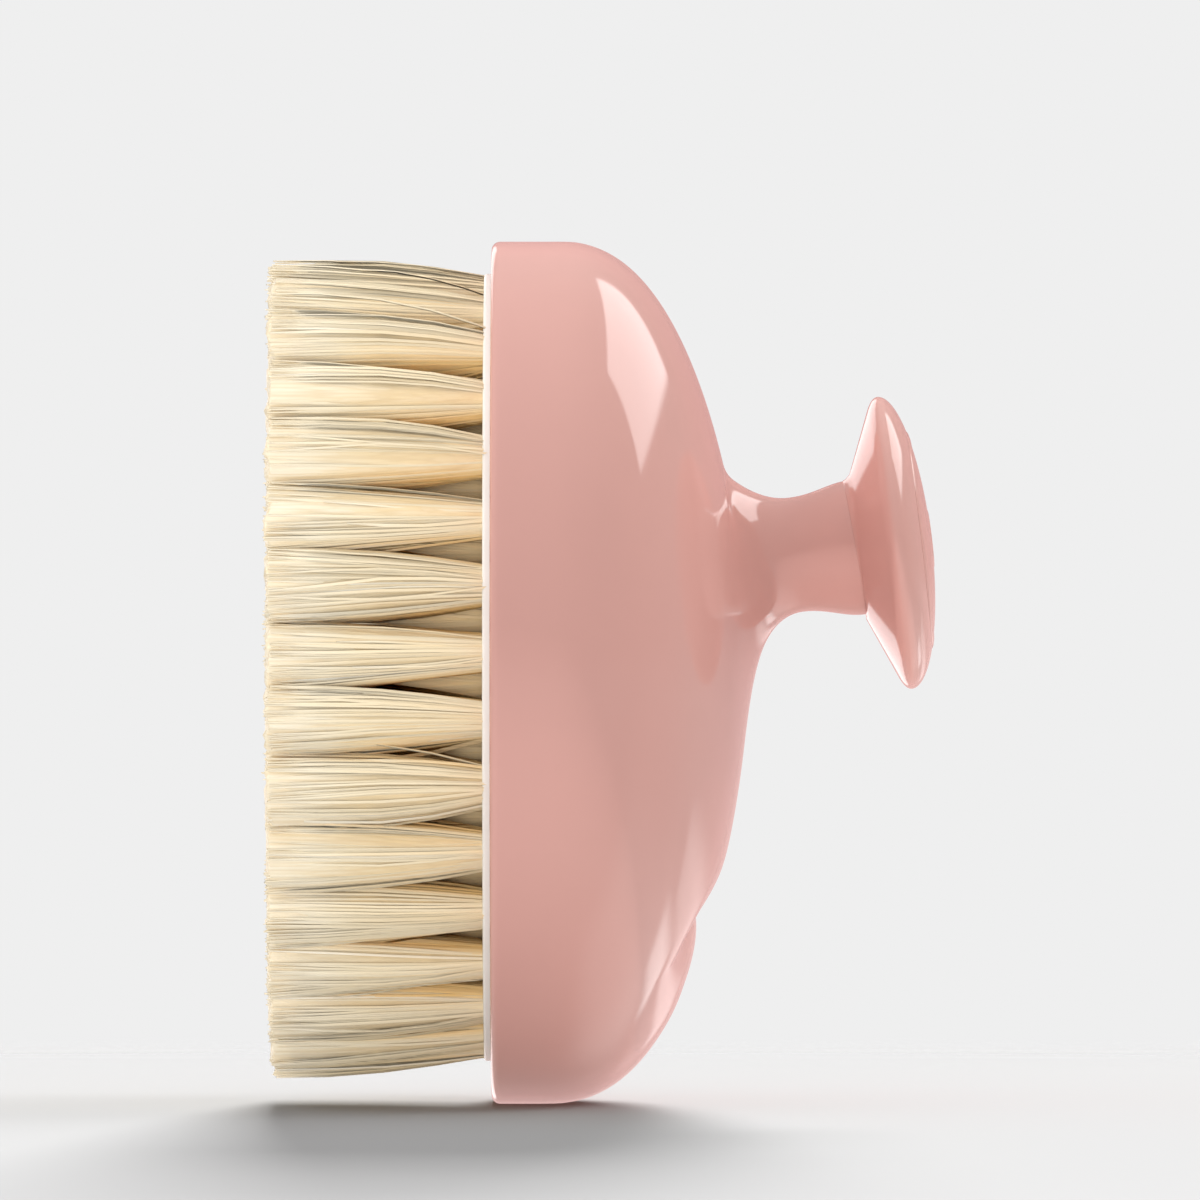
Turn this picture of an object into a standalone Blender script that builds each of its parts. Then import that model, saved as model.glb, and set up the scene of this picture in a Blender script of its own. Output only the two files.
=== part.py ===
# Palm body brush: a hollow moulded handle shell with a knob on a short neck, and an
# oval bristle plate whose tufts stand in oval rows.
#
# Frame: metres, +Z up. The brush stands on one end of its oval, its long axis along Z.
# +X points from the bristles to the knob, -X is where the bristles point.
# The world origin lies on the small flat at the lower end of the rim, which is the face
# that the brush stands on.
#
# Inside this file shapes are worked out in the "base frame", in millimetres: x counts
# from the plane of the shell's open face, z from the floor. The empty "brush_base"
# carries that frame into the world.

import math

import bmesh
import bpy
import numpy as np
from mathutils import Matrix, Vector

MM = 0.001

# ---- driving dimensions, millimetres -------------------------------------------------
LENGTH = 115.0             # overall length of the oval body
HALF_LENGTH = 57.65        # half length before the ends are dressed flat
HALF_WIDTH = 49.0          # half width of the oval body
PLAN_POWER = 2.2           # superellipse exponent of the oval outline
BAND = 7.34                # height of the straight rim band
DOME_RISE = 27.11          # rise of the dome above the band
DOME_POWER_UP = 2.49       # exponent along the rise
DOME_POWER_OUT = 1.62      # exponent along the plan radius
DOME_LEAN = 0.0329         # the dome leans towards the knob's end
EDGE = 1.1                 # rounding of the open face's outer edge
FOOT_MID = 5.3             # point of the foot flat under the origin, from the open face
FOOT_PAST_BAND = 1.0       # the foot flat runs this far past the top of the band

NECK_END = (48.47, 74.2)   # x, z of the middle of the neck's end
TILT = math.radians(6.8)   # the neck and knob lean towards the upper end
CREASE_TILT = 0.0577       # slope of the neck's end against the knob's axis
NECK_WAIST = 7.68          # smallest neck radius
NECK_WAIST_AT = -8.0       # where it is, along the axis from the neck's end
NECK_FLARE = 0.0655        # parabola of the neck's root, per mm
NECK_SWELL = 1.35          # how much the neck widens again below the knob
PIVOT = -22.0              # the shell's skin is measured out from this axis point

FIELD_SHIFT = 0.7          # plate and tufts sit this far towards the knob's end
PLATE_INSET = 5.0          # plate edge in from the body outline
PLATE_FRONT = -1.0         # the plate stands proud of the open face
PLATE_BACK = 2.5
SEAT_INSET = 4.7           # pocket that the plate sits in
SEAT_DEPTH = 2.8
LEDGE_INSET = 6.3          # inner edge of the ledge behind the plate
CAVITY_RISE = 31.9         # inside top of the dome

BOSS_RECESS = 5.6          # socket in the neck's end for the knob's spigot
BOSS_RECESS_DEPTH = 3.3
SCREW_HOLE = 1.7
NECK_CORE = 4.6            # cored-out neck below the screw boss
NECK_CORE_TOP = -10.0

KNOB_RADIUS = 19.66
KNOB_RIM_AT = 5.38         # rim plane above the neck's end
KNOB_DOME = 4.95           # outer dome above the rim plane
KNOB_CREASE = 8.95
SPIGOT = 5.3
SPIGOT_END = -3.0
CAP_RADIUS = 14.6
CAP_BORE = 14.9
CAP_RAISE = 0.4
GAP = 0.3

ROW_LENGTH = 49.6          # half length of the outer tuft row
ROW_WIDTH = 40.7           # half width of the outer tuft row
ROW_STEP = 8.7             # from one row to the next
ROW_COUNTS = (33, 27, 21, 14, 8)
CENTRE_PAIR = 4.1          # the two tufts in the middle stand this far from it
TUFT_HOLE = 2.1
TUFT_ROOT = 1.5
TUFT_TIP = 3.45
TIP_PLANE = -29.6          # brushing face
THREAD_BAND = (2.9, 4.0)   # folded roots and their thread, behind the plate
THREAD_HALF = 0.9

AROUND = 54                # shell facets round the neck


# ---- shape rules -----------------------------------------------------------------------
def smoothstep(t):
    t = np.clip(t, 0.0, 1.0)
    return t * t * (3.0 - 2.0 * t)


def outline(inset, count):
    """Oval outline in (y, z), set in by inset, anticlockwise seen from +X, first pair
    of points either side of the lower end."""
    step = 2.0 * math.pi / count
    psi = (np.arange(count) + 0.5) * step
    s, c = np.sin(psi), np.cos(psi)
    e = 2.0 / PLAN_POWER
    y = (HALF_WIDTH - inset) * np.sign(s) * np.abs(s) ** e
    z = -(HALF_LENGTH - inset) * np.sign(c) * np.abs(c) ** e
    low = LENGTH / 2.0 - inset
    return y, np.clip(z, -low, low) + LENGTH / 2.0


def dome_level(x, y, z):
    """Signed distance, to first order, to the body without its neck."""
    rise = np.maximum(x - BAND, 0.0)
    zc = LENGTH / 2.0 + DOME_LEAN * rise
    u = np.abs(y) / HALF_WIDTH
    v = np.abs(z - zc) / HALF_LENGTH
    rho = (u ** PLAN_POWER + v ** PLAN_POWER) ** (1.0 / PLAN_POWER) + 1e-9
    t = rise / DOME_RISE
    level = t ** DOME_POWER_UP + rho ** DOME_POWER_OUT - 1.0
    gx = DOME_POWER_UP * t ** (DOME_POWER_UP - 1.0) / DOME_RISE
    gr = DOME_POWER_OUT * rho ** (DOME_POWER_OUT - 1.0)
    k = rho ** (1.0 - PLAN_POWER)
    gy = gr * k * u ** (PLAN_POWER - 1.0) / HALF_WIDTH
    gz = gr * k * v ** (PLAN_POWER - 1.0) / HALF_LENGTH
    return level / np.sqrt(gx * gx + gy * gy + gz * gz + 1e-8)


def neck_radius(a):
    d = np.clip(a, -18.0, 3.0) - NECK_WAIST_AT
    t = np.clip(d / -NECK_WAIST_AT, 0.0, 1.0) ** 1.15
    return NECK_WAIST + np.where(d < 0.0, NECK_FLARE * d * d, NECK_SWELL * t * t * (3.0 - 2.0 * t))


def axis_coords(x, y, z):
    """Axial distance from the neck's end, radius, and angle round the neck (0 at the
    upper side)."""
    dx, dz = x - NECK_END[0], z - NECK_END[1]
    a = dx * math.cos(TILT) + dz * math.sin(TILT)
    up = dz * math.cos(TILT) - dx * math.sin(TILT)
    r = np.hypot(up, y)
    return a, r, np.arctan2(np.abs(y), up)


def axis_point(a, r, phi):
    """The point at axial distance a, radius r and signed angle phi round the neck."""
    up = r * np.cos(phi)
    x = NECK_END[0] + a * math.cos(TILT) - up * math.sin(TILT)
    z = NECK_END[1] + a * math.sin(TILT) + up * math.cos(TILT)
    return np.stack([x, r * np.sin(phi) + 0.0 * x, z], axis=-1)


def blend_width(phi):
    """The neck meets the dome in a corner on the upper side and in a wide fillet below."""
    return 0.9 + 6.0 * smoothstep((np.degrees(phi) - 50.0) / 90.0)


def skin_level(x, y, z):
    """Level function of the outer skin: dome and neck melted together."""
    a, r, phi = axis_coords(x, y, z)
    slope = np.where(a < NECK_WAIST_AT, 2.0 * NECK_FLARE * (a - NECK_WAIST_AT), 0.15)
    neck = (r - neck_radius(a)) / np.sqrt(1.0 + slope * slope)
    dome = dome_level(x, y, z)
    k = blend_width(phi)
    h = np.maximum(k - np.abs(neck - dome), 0.0) / k
    body = np.minimum(neck, dome) - h * h * k / 4.0
    return np.maximum(body, np.maximum(-z, z - LENGTH)), dome - neck


# finger scoop in the dome, below the knob: an arched edge with a rounded lip above it
# and a floor that runs out below it
SCOOP_EDGE_Z = 24.5
SCOOP_ARCH = 0.0125
SCOOP_DEPTH = 2.0
SCOOP_HALF = 27.0


def scoop_edge(y):
    return SCOOP_EDGE_Z - SCOOP_ARCH * y * y


def scoop_depth(y, z):
    d = (z - scoop_edge(y)) / np.sqrt(1.0 + (2.0 * SCOOP_ARCH * y) ** 2)
    fade = 1.0 - smoothstep((np.abs(y) - 12.0) / (SCOOP_HALF - 12.0))
    above = np.exp(-np.abs(np.maximum(d, 0.0) / 4.4) ** 1.8)
    below = 0.93 * np.exp(-np.maximum(-d, 0.0) / 5.0) * (1.0 - smoothstep((-d - 8.0) / 6.0))
    return SCOOP_DEPTH * fade * np.where(d >= 0.0, above, below)


def skin_lines(count, samples):
    """Points down the outer skin from the neck's end to the rim, one line for each of
    count directions round the neck, and the level difference dome - neck on them."""
    y0, z0 = outline(0.0, count)
    pivot = axis_point(PIVOT, 0.0, 0.0)
    u = np.array([math.cos(TILT), 0.0, math.sin(TILT)])
    end = np.stack([np.full(count, EDGE), y0, z0], axis=-1) - pivot
    ax = end @ u
    out = end - ax[:, None] * u
    rad = np.linalg.norm(out, axis=1)
    out = out / rad[:, None]
    phi = np.arctan2(out[:, 1], out[:, 2] * math.cos(TILT) - out[:, 0] * math.sin(TILT))
    a_start = -GAP / 2.0 - CREASE_TILT * KNOB_CREASE * np.cos(phi)
    first = np.arctan2(neck_radius(a_start), a_start - PIVOT)
    last = np.arctan2(rad, ax)
    t = np.linspace(0.0, 1.0, samples)
    theta = first[:, None] + (last - first)[:, None] * t[None, :]
    d = np.cos(theta)[..., None] * u + np.sin(theta)[..., None] * out[:, None, :]
    lo, hi = np.full(theta.shape, 2.0), np.full(theta.shape, 140.0)
    for _ in range(44):
        mid = 0.5 * (lo + hi)
        p = pivot + mid[..., None] * d
        inside = skin_level(p[..., 0], p[..., 1], p[..., 2])[0] < 0.0
        lo = np.where(inside, mid, lo)
        hi = np.where(inside, hi, mid)
    p = pivot + (0.5 * (lo + hi))[..., None] * d
    p[:, -1] = end + pivot
    return p, skin_level(p[..., 0], p[..., 1], p[..., 2])[1], phi


def first_crossing(values, s, level):
    """Arc length s at which each row of values first falls through level, or nan."""
    below = values < level
    i = np.argmax(below, axis=1)
    ok = below.any(axis=1) & (i > 0)
    i = np.maximum(i, 1)
    row = np.arange(len(values))
    v0, v1 = values[row, i - 1], values[row, i]
    f = (v0 - level) / np.where(v0 == v1, 1.0, v0 - v1)
    return np.where(ok, s[row, i - 1] + f * (s[row, i] - s[row, i - 1]), np.nan)


def skin_rings(count, parts, samples=700):
    """Rings of the outer skin. parts gives the number of rings between the neck's end,
    the waist, the foot of the neck, the scoop's edge, the top of the rim band and the
    rounded rim edge."""
    p, diff, phi = skin_lines(count, samples)
    step = np.linalg.norm(np.diff(p, axis=1), axis=2)
    s = np.concatenate([np.zeros((count, 1)), np.cumsum(step, axis=1)], axis=1)
    a = axis_coords(p[..., 0], p[..., 1], p[..., 2])[0]
    waist = first_crossing(a, s, NECK_WAIST_AT)
    foot = first_crossing(diff, s, 0.0)
    band = first_crossing(p[..., 0], s, BAND + FOOT_PAST_BAND)
    # the ring that follows the scoop's edge keeps its share of the way on the other side
    q = (first_crossing(np.where(p[..., 2] > 60.0, 99.0, p[..., 2] - scoop_edge(p[..., 1])), s, 0.0) - foot) / (band - foot)
    y = p[:, -1, 1]
    good = np.isfinite(q) & (q < 0.86) & (p[:, -1, 2] < 40.0)
    q = np.where(good, q, q[good].max())
    scoop = foot + q * (band - foot)
    marks = [np.zeros(count), waist, foot, scoop, band, s[:, -1]]
    at = []
    for m0, m1, n in zip(marks[:-1], marks[1:], parts):
        for i in range(n):
            at.append(m0 + (m1 - m0) * i / n)
    at.append(marks[-1])
    rings = []
    for arc in at:
        ring = np.stack([[np.interp(arc[j], s[j], p[j, :, c]) for c in range(3)] for j in range(count)])
        rings.append(ring)
    return rings, phi


def dent(rings):
    """Press the scoop into the skin, along -X and a little inwards."""
    for ring in rings:
        depth = scoop_depth(ring[:, 1], ring[:, 2]) * (ring[:, 0] > BAND + 2.2) * (ring[:, 2] < 45.0)
        # the straight rim band stays as it is
        ring[:, 0] -= depth
    return rings


# ---- mesh helpers ------------------------------------------------------------------------
def material(name, colour, roughness, metallic=0.0):
    mat = bpy.data.materials.new(name)
    mat.use_nodes = True
    bsdf = mat.node_tree.nodes["Principled BSDF"]
    bsdf.inputs["Base Color"].default_value = (*colour, 1.0)
    bsdf.inputs["Roughness"].default_value = roughness
    bsdf.inputs["Metallic"].default_value = metallic
    return mat


def new_object(name, bm, mat, parent=None, sharp=35.0):
    bmesh.ops.recalc_face_normals(bm, faces=bm.faces)
    mesh = bpy.data.meshes.new(name)
    bm.to_mesh(mesh)
    bm.free()
    mesh.materials.append(mat)
    obj = bpy.data.objects.new(name, mesh)
    bpy.context.scene.collection.objects.link(obj)
    obj.parent = parent
    mesh.shade_smooth()
    mesh.set_sharp_from_angle(angle=math.radians(sharp))
    return obj


def cutter(obj):
    obj.hide_render = True
    obj.display_type = "WIRE"
    return obj


def loft(rings, closed):
    """A bmesh skinned through rings of equal length, given in millimetres."""
    bm = bmesh.new()
    loops = [[bm.verts.new(Vector(p) * MM) for p in ring] for ring in rings]
    pairs = list(zip(loops[:-1], loops[1:]))
    if closed:
        pairs.append((loops[-1], loops[0]))
    for one, two in pairs:
        n = len(one)
        for i in range(n):
            j = (i + 1) % n
            bm.faces.new((one[i], one[j], two[j], two[i]))
    if not closed:
        bm.faces.new(loops[0])
        bm.faces.new(loops[-1])
    return bm


def turned(profile, sides, tilt_below=None):
    """A ring-shaped turned solid about local Z from a closed profile of (axial, radius).
    Points named in tilt_below lie on the slanted face of the neck's end."""
    bm = bmesh.new()
    verts = [bm.verts.new((r * MM, 0.0, a * MM)) for a, r in profile]
    edges = [bm.edges.new((verts[i], verts[(i + 1) % len(verts)])) for i in range(len(verts))]
    bmesh.ops.spin(bm, geom=verts + edges, cent=(0, 0, 0), axis=(0, 0, 1), angle=2.0 * math.pi,
                   steps=sides, use_merge=True)
    bmesh.ops.remove_doubles(bm, verts=bm.verts, dist=1e-6)
    if tilt_below is not None:
        a0, a1, rmin = tilt_below
        for v in bm.verts:
            r = math.hypot(v.co.x, v.co.y)
            if a0 * MM <= v.co.z <= a1 * MM and r > rmin * MM:
                v.co.z += CREASE_TILT * v.co.x
    return bm


def row_points(half_length, half_width, count, fine=4000):
    """count points at equal distances round an oval row, the first at the upper end."""
    psi = np.linspace(0.0, 2.0 * math.pi, fine + 1)
    e = 2.0 / PLAN_POWER
    y = half_width * np.sign(np.sin(psi)) * np.abs(np.sin(psi)) ** e
    z = half_length * np.sign(np.cos(psi)) * np.abs(np.cos(psi)) ** e
    s = np.concatenate([[0.0], np.cumsum(np.hypot(np.diff(y), np.diff(z)))])
    at = np.arange(count) * s[-1] / count
    yy, zz = np.interp(at, s, y), np.interp(at, s, z)
    out = np.stack([yy / half_width ** 2, zz / half_length ** 2], axis=-1)
    out /= np.linalg.norm(out, axis=1)[:, None]
    return yy, zz + LENGTH / 2.0 + FIELD_SHIFT, out


def prism(bm, rings):
    """Add one closed tuft or hole prism, its rings given in base-frame millimetres."""
    loops = [[bm.verts.new(Vector(p) * MM) for p in ring] for ring in rings]
    for one, two in zip(loops[:-1], loops[1:]):
        n = len(one)
        for i in range(n):
            j = (i + 1) % n
            bm.faces.new((one[i], one[j], two[j], two[i]))
    bm.faces.new(loops[0][::-1])
    bm.faces.new(loops[-1])


def six(x, y, z, r):
    ang = np.arange(6) * math.pi / 3.0
    return [(x, y + r * math.cos(t), z + r * math.sin(t)) for t in ang]


def tuft_rows():
    rows = []
    for k, count in enumerate(ROW_COUNTS):
        y, z, out = row_points(ROW_LENGTH - k * ROW_STEP, ROW_WIDTH - k * ROW_STEP, count)
        rows.append((y, z, out, 0.8 - 0.15 * k))
    z = LENGTH / 2.0 + FIELD_SHIFT + np.array([CENTRE_PAIR, -CENTRE_PAIR])
    rows.append((np.zeros(2), z, np.array([[0.0, 1.0], [0.0, -1.0]]), 0.1))
    return rows


# ---- the parts -----------------------------------------------------------------------------
def make_shell(mat, parent):
    rings, phi = skin_rings(AROUND, (3, 3, 7, 6, 1))
    rings = dent(rings)
    # rounded edge, open face, pocket for the plate, ledge
    def flat(x, inset, shift=0.0):
        y, z = outline(inset, AROUND)
        return np.stack([np.full(AROUND, x), y, z + shift], axis=-1)
    rings.append(flat(EDGE * 0.29, EDGE * 0.29))
    rings.append(flat(0.0, EDGE))
    rings.append(flat(0.0, SEAT_INSET, FIELD_SHIFT))
    rings.append(flat(SEAT_DEPTH, SEAT_INSET, FIELD_SHIFT))
    rings.append(flat(SEAT_DEPTH, LEDGE_INSET, FIELD_SHIFT))
    # inside of the dome, from the ledge to the cored neck
    core = axis_point(-17.0, NECK_CORE, phi)
    edge = flat(6.0, LEDGE_INSET, FIELD_SHIFT)
    for w in (1.0, 0.98, 0.92, 0.78, 0.58, 0.32, 0.0):
        y = core[:, 1] + w * (edge[:, 1] - core[:, 1])
        z = core[:, 2] + w * (edge[:, 2] - core[:, 2])
        u = np.abs(y) / (HALF_WIDTH - LEDGE_INSET)
        v = np.abs(z - LENGTH / 2.0 - 0.4) / (HALF_LENGTH - LEDGE_INSET)
        rho = np.minimum((u ** 2.2 + v ** 2.2) ** (1 / 2.2), 1.0)
        x = 6.0 + (CAVITY_RISE - 6.0) * (1.0 - rho ** 1.9) ** (1.0 / 2.8)
        x = x - 1.9 * np.exp(-((z - 22.0) / 9.0) ** 2 - (y / 22.0) ** 2)
        if w == 1.0:
            x = np.full(AROUND, 6.0)
        rings.append(np.stack([np.maximum(x, 6.0), y, z], axis=-1))
    # cored neck, screw boss, socket and end face
    rings.append(axis_point(NECK_CORE_TOP, NECK_CORE, phi))
    rings.append(axis_point(NECK_CORE_TOP, SCREW_HOLE, phi))
    rings.append(axis_point(-BOSS_RECESS_DEPTH, SCREW_HOLE, phi))
    rings.append(axis_point(-BOSS_RECESS_DEPTH, BOSS_RECESS, phi))
    slant = -GAP / 2.0 - CREASE_TILT * BOSS_RECESS * np.cos(phi)
    rings.append(axis_point(slant, BOSS_RECESS, phi))
    return new_object("handle_shell", loft(rings, True), mat, parent, sharp=28.0)


def lens(r):
    return KNOB_RIM_AT + KNOB_DOME * math.sqrt(max(0.0, 1.0 - (r / KNOB_RADIUS) ** 2))


def make_knob(mat, parent):
    under = [(GAP / 2.0, SPIGOT), (GAP / 2.0, KNOB_CREASE)]
    cone_end = (4.15, 18.7)
    rim = [(4.45, 19.15), (4.85, 19.5), (KNOB_RIM_AT, KNOB_RADIUS), (5.95, 19.5)]
    outer = [(lens(r), r) for r in (19.0, 18.0, 16.6, CAP_BORE)]
    profile = ([(SPIGOT_END, SCREW_HOLE), (SPIGOT_END, SPIGOT)] + under
               + [(2.1, 13.7), cone_end] + rim + outer
               + [(6.9, CAP_BORE), (6.9, 12.9), (4.6, 12.6), (2.7, 9.0), (2.7, SCREW_HOLE)])
    return new_object("knob", turned(profile, 36, (-0.2, 0.4, 5.0)), mat, parent, sharp=28.0)


def make_cap(mat, parent):
    """Domed cap with a plain raised rim ring and a low round pad in its middle."""
    bm = bmesh.new()
    top = [(lens(0.0) + 0.3, 0.0), (lens(3.6) + 0.3, 3.6), (lens(4.0), 4.0), (lens(8.5), 8.5), (lens(13.0), 13.0),
           (lens(13.3) + CAP_RAISE, 13.4), (lens(14.3) + CAP_RAISE, 14.3), (lens(CAP_RADIUS) + 0.15, CAP_RADIUS)]
    under = [(7.2, CAP_RADIUS), (7.2, 13.1), (8.2, 12.0), (8.75, 6.0), (8.9, 0.0)]
    verts = [bm.verts.new((r * MM, 0.0, a * MM)) for a, r in top + under]
    edges = [bm.edges.new((verts[i], verts[i + 1])) for i in range(len(verts) - 1)]
    bmesh.ops.spin(bm, geom=verts + edges, cent=(0, 0, 0), axis=(0, 0, 1), angle=2.0 * math.pi,
                   steps=30, use_merge=True)
    bmesh.ops.remove_doubles(bm, verts=bm.verts, dist=1e-6)
    return new_object("knob_cap", bm, mat, parent, sharp=28.0)


def make_screw(mat, parent):
    bm = bmesh.new()
    profile = [(4.9, 0.0), (4.9, 1.6), (4.5, 2.5), (3.9, 2.8), (3.0, 2.8), (3.0, 1.3), (-7.6, 1.3), (-9.0, 0.35), (-9.0, 0.0)]
    verts = [bm.verts.new((r * MM, 0.0, a * MM)) for a, r in profile]
    edges = [bm.edges.new((verts[i], verts[i + 1])) for i in range(len(verts) - 1)]
    bmesh.ops.spin(bm, geom=verts + edges, cent=(0, 0, 0), axis=(0, 0, 1), angle=2.0 * math.pi,
                   steps=16, use_merge=True)
    bmesh.ops.remove_doubles(bm, verts=bm.verts, dist=1e-6)
    screw = new_object("knob_screw", bm, mat, parent, sharp=30.0)
    # cross recess in the head
    cm = bmesh.new()
    for size in ((0.6, 2.6), (2.6, 0.6)):
        box = bmesh.ops.create_cube(cm, size=1.0)["verts"]
        bmesh.ops.scale(cm, vec=(size[0] * MM, size[1] * MM, 1.6 * MM), verts=box)
        bmesh.ops.translate(cm, vec=(0, 0, 4.7 * MM), verts=box)
    tool = cutter(new_object("screw_recess_cutter", cm, mat, parent))
    cut = screw.modifiers.new("recess", "BOOLEAN")
    cut.operation = "DIFFERENCE"
    cut.solver = "EXACT"
    cut.use_self = True
    cut.object = tool
    return screw


def make_plate(mat, parent, rows):
    bm = bmesh.new()
    y, z = outline(PLATE_INSET, AROUND + 12)
    face = bm.faces.new([bm.verts.new((PLATE_BACK * MM, a * MM, b * MM)) for a, b in zip(y, z + FIELD_SHIFT)])
    grown = bmesh.ops.extrude_face_region(bm, geom=[face])
    front = [v for v in grown["geom"] if isinstance(v, bmesh.types.BMVert)]
    bmesh.ops.translate(bm, vec=((PLATE_FRONT - PLATE_BACK) * MM, 0, 0), verts=front)
    bm.edges.ensure_lookup_table()
    rim = [e for e in bm.edges if all(v.co.x < (PLATE_FRONT + 0.01) * MM for v in e.verts)]
    bmesh.ops.bevel(bm, geom=rim, offset=0.4 * MM, segments=1, affect="EDGES")
    plate = new_object("bristle_plate", bm, mat, parent)
    holes = bmesh.new()
    for ys, zs, _, _ in rows:
        for a, b in zip(ys, zs):
            prism(holes, [six(PLATE_FRONT - 1.0, a, b, TUFT_HOLE), six(PLATE_BACK + 1.0, a, b, TUFT_HOLE)])
    tool = cutter(new_object("tuft_hole_cutter", holes, mat, parent))
    cut = plate.modifiers.new("tuft holes", "BOOLEAN")
    cut.operation = "DIFFERENCE"
    cut.solver = "EXACT"
    cut.object = tool
    return plate


def make_row(name, mat, parent, row, half_length, half_width):
    """One oval row: its tufts, and the band of folded roots with the drawing thread
    that runs from tuft to tuft behind the plate."""
    ys, zs, out, lean = row
    x0, x1 = THREAD_BAND
    band = bmesh.new()
    if len(ys) > 2:
        n = 2 * len(ys)
        y, z, o = row_points(half_length, half_width, n)
        rings = []
        for x, side in ((x0, -1), (x1, -1), (x1, 1), (x0, 1)):
            rings.append([(x, y[i] + side * THREAD_HALF * o[i, 0], z[i] + side * THREAD_HALF * o[i, 1]) for i in range(n)])
        band = loft(rings, True)
    else:
        box = bmesh.ops.create_cube(band, size=1.0)["verts"]
        bmesh.ops.scale(band, vec=((x1 - x0) * MM, 2.0 * THREAD_HALF * MM, 2.0 * CENTRE_PAIR * MM), verts=box)
        bmesh.ops.translate(band, vec=((x0 + x1) / 2.0 * MM, 0, (LENGTH / 2.0 + FIELD_SHIFT) * MM), verts=box)
    obj = new_object(name, band, mat, parent)
    tufts = bmesh.new()
    for a, b, o in zip(ys, zs, out):
        prism(tufts, [six((x0 + x1) / 2.0, a, b, TUFT_ROOT),
                      six(TIP_PLANE, a + lean * o[0], b + lean * o[1], TUFT_TIP)])
    tool = cutter(new_object(name + "_tufts", tufts, mat, parent))
    join = obj.modifiers.new("tufts", "BOOLEAN")
    join.operation = "UNION"
    join.solver = "EXACT"
    join.object = tool
    return obj


def main():
    for obj in list(bpy.data.objects):
        bpy.data.objects.remove(obj, do_unlink=True)

    pink = material("pink_gloss_plastic", (0.674, 0.371, 0.323), 0.16)
    cap_pink = material("pink_gloss_plastic_cap", (0.674, 0.371, 0.323), 0.16)
    white = material("white_plastic", (0.80, 0.74, 0.66), 0.35)
    steel = material("zinc_steel", (0.62, 0.62, 0.60), 0.35, 1.0)
    fibre = material("plant_fibre", (0.72, 0.58, 0.36), 0.75)

    base = bpy.data.objects.new("brush_base", None)
    bpy.context.scene.collection.objects.link(base)
    base.location = (-FOOT_MID * MM, 0.0, 0.0)

    knob_axis = bpy.data.objects.new("knob_axis", None)
    bpy.context.scene.collection.objects.link(knob_axis)
    knob_axis.parent = base
    knob_axis.location = (NECK_END[0] * MM, 0.0, NECK_END[1] * MM)
    knob_axis.rotation_euler = (0.0, math.pi / 2.0 - TILT, 0.0)

    make_shell(pink, base)
    make_knob(pink, knob_axis)
    make_cap(cap_pink, knob_axis)
    make_screw(steel, knob_axis)

    rows = tuft_rows()
    make_plate(white, base, rows)
    for k, row in enumerate(rows):
        make_row(f"tuft_row_{k + 1}", fibre, base, row, ROW_LENGTH - k * ROW_STEP, ROW_WIDTH - k * ROW_STEP)
    bpy.context.view_layer.update()


main()
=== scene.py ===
# Looks of the palm body brush: glossy pink shell and knob, white bristle plate, and
# natural plant fibre tufts. Metres, +Z up. Shapes are worked out in millimetres in the
# same base frame as the CAD part: x from the plane of the shell's open face, z from the
# floor.
import math

import bmesh
import bpy
import numpy as np
from mathutils import Matrix, Vector


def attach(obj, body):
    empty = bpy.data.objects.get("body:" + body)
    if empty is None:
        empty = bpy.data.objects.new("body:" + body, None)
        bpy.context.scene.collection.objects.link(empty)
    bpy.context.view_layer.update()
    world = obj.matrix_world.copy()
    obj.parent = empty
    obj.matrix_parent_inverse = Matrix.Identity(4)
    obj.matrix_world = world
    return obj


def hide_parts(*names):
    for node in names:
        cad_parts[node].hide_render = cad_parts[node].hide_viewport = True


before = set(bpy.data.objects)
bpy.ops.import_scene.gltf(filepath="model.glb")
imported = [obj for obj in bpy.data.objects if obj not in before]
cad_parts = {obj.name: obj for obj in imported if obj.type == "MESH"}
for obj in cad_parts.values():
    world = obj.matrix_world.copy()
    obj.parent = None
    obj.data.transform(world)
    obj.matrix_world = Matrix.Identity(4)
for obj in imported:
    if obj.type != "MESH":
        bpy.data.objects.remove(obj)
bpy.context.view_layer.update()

MM = 0.001

# ---- driving dimensions, millimetres, as in the CAD part -----------------------------
LENGTH = 115.0
HALF_LENGTH = 57.65
HALF_WIDTH = 49.0
PLAN_POWER = 2.2
BAND = 7.34
DOME_RISE = 27.11
DOME_POWER_UP = 2.49
DOME_POWER_OUT = 1.62
DOME_LEAN = 0.0329
EDGE = 1.1
FOOT_MID = 5.3

NECK_END = (48.47, 74.2)
TILT = math.radians(6.8)
CREASE_TILT = 0.0577
NECK_WAIST = 7.68
NECK_WAIST_AT = -8.0
NECK_FLARE = 0.0655
NECK_SWELL = 1.35
PIVOT = -22.0

FIELD_SHIFT = 0.7
PLATE_INSET = 5.0
PLATE_FRONT = -1.0
PLATE_BACK = 2.5
SEAT_INSET = 4.7
SEAT_DEPTH = 2.8
LEDGE_INSET = 6.3
CAVITY_RISE = 31.9

BOSS_RECESS = 5.6
BOSS_RECESS_DEPTH = 3.3
SCREW_HOLE = 1.7
NECK_CORE = 4.6
NECK_CORE_TOP = -10.0

KNOB_RADIUS = 19.66
KNOB_RIM_AT = 5.38
KNOB_DOME = 4.95
KNOB_CREASE = 9.02
SPIGOT = 5.3
SPIGOT_END = -3.0
SEAM_RADIUS = 14.7          # hairline joint between knob and cap
SEAM = 0.06
CAP_RAISE = 0.13
PAD_RAISE = 0.1
GAP = 0.3
CREASE_GAP = 0.004          # hairline joint between neck and knob

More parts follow.
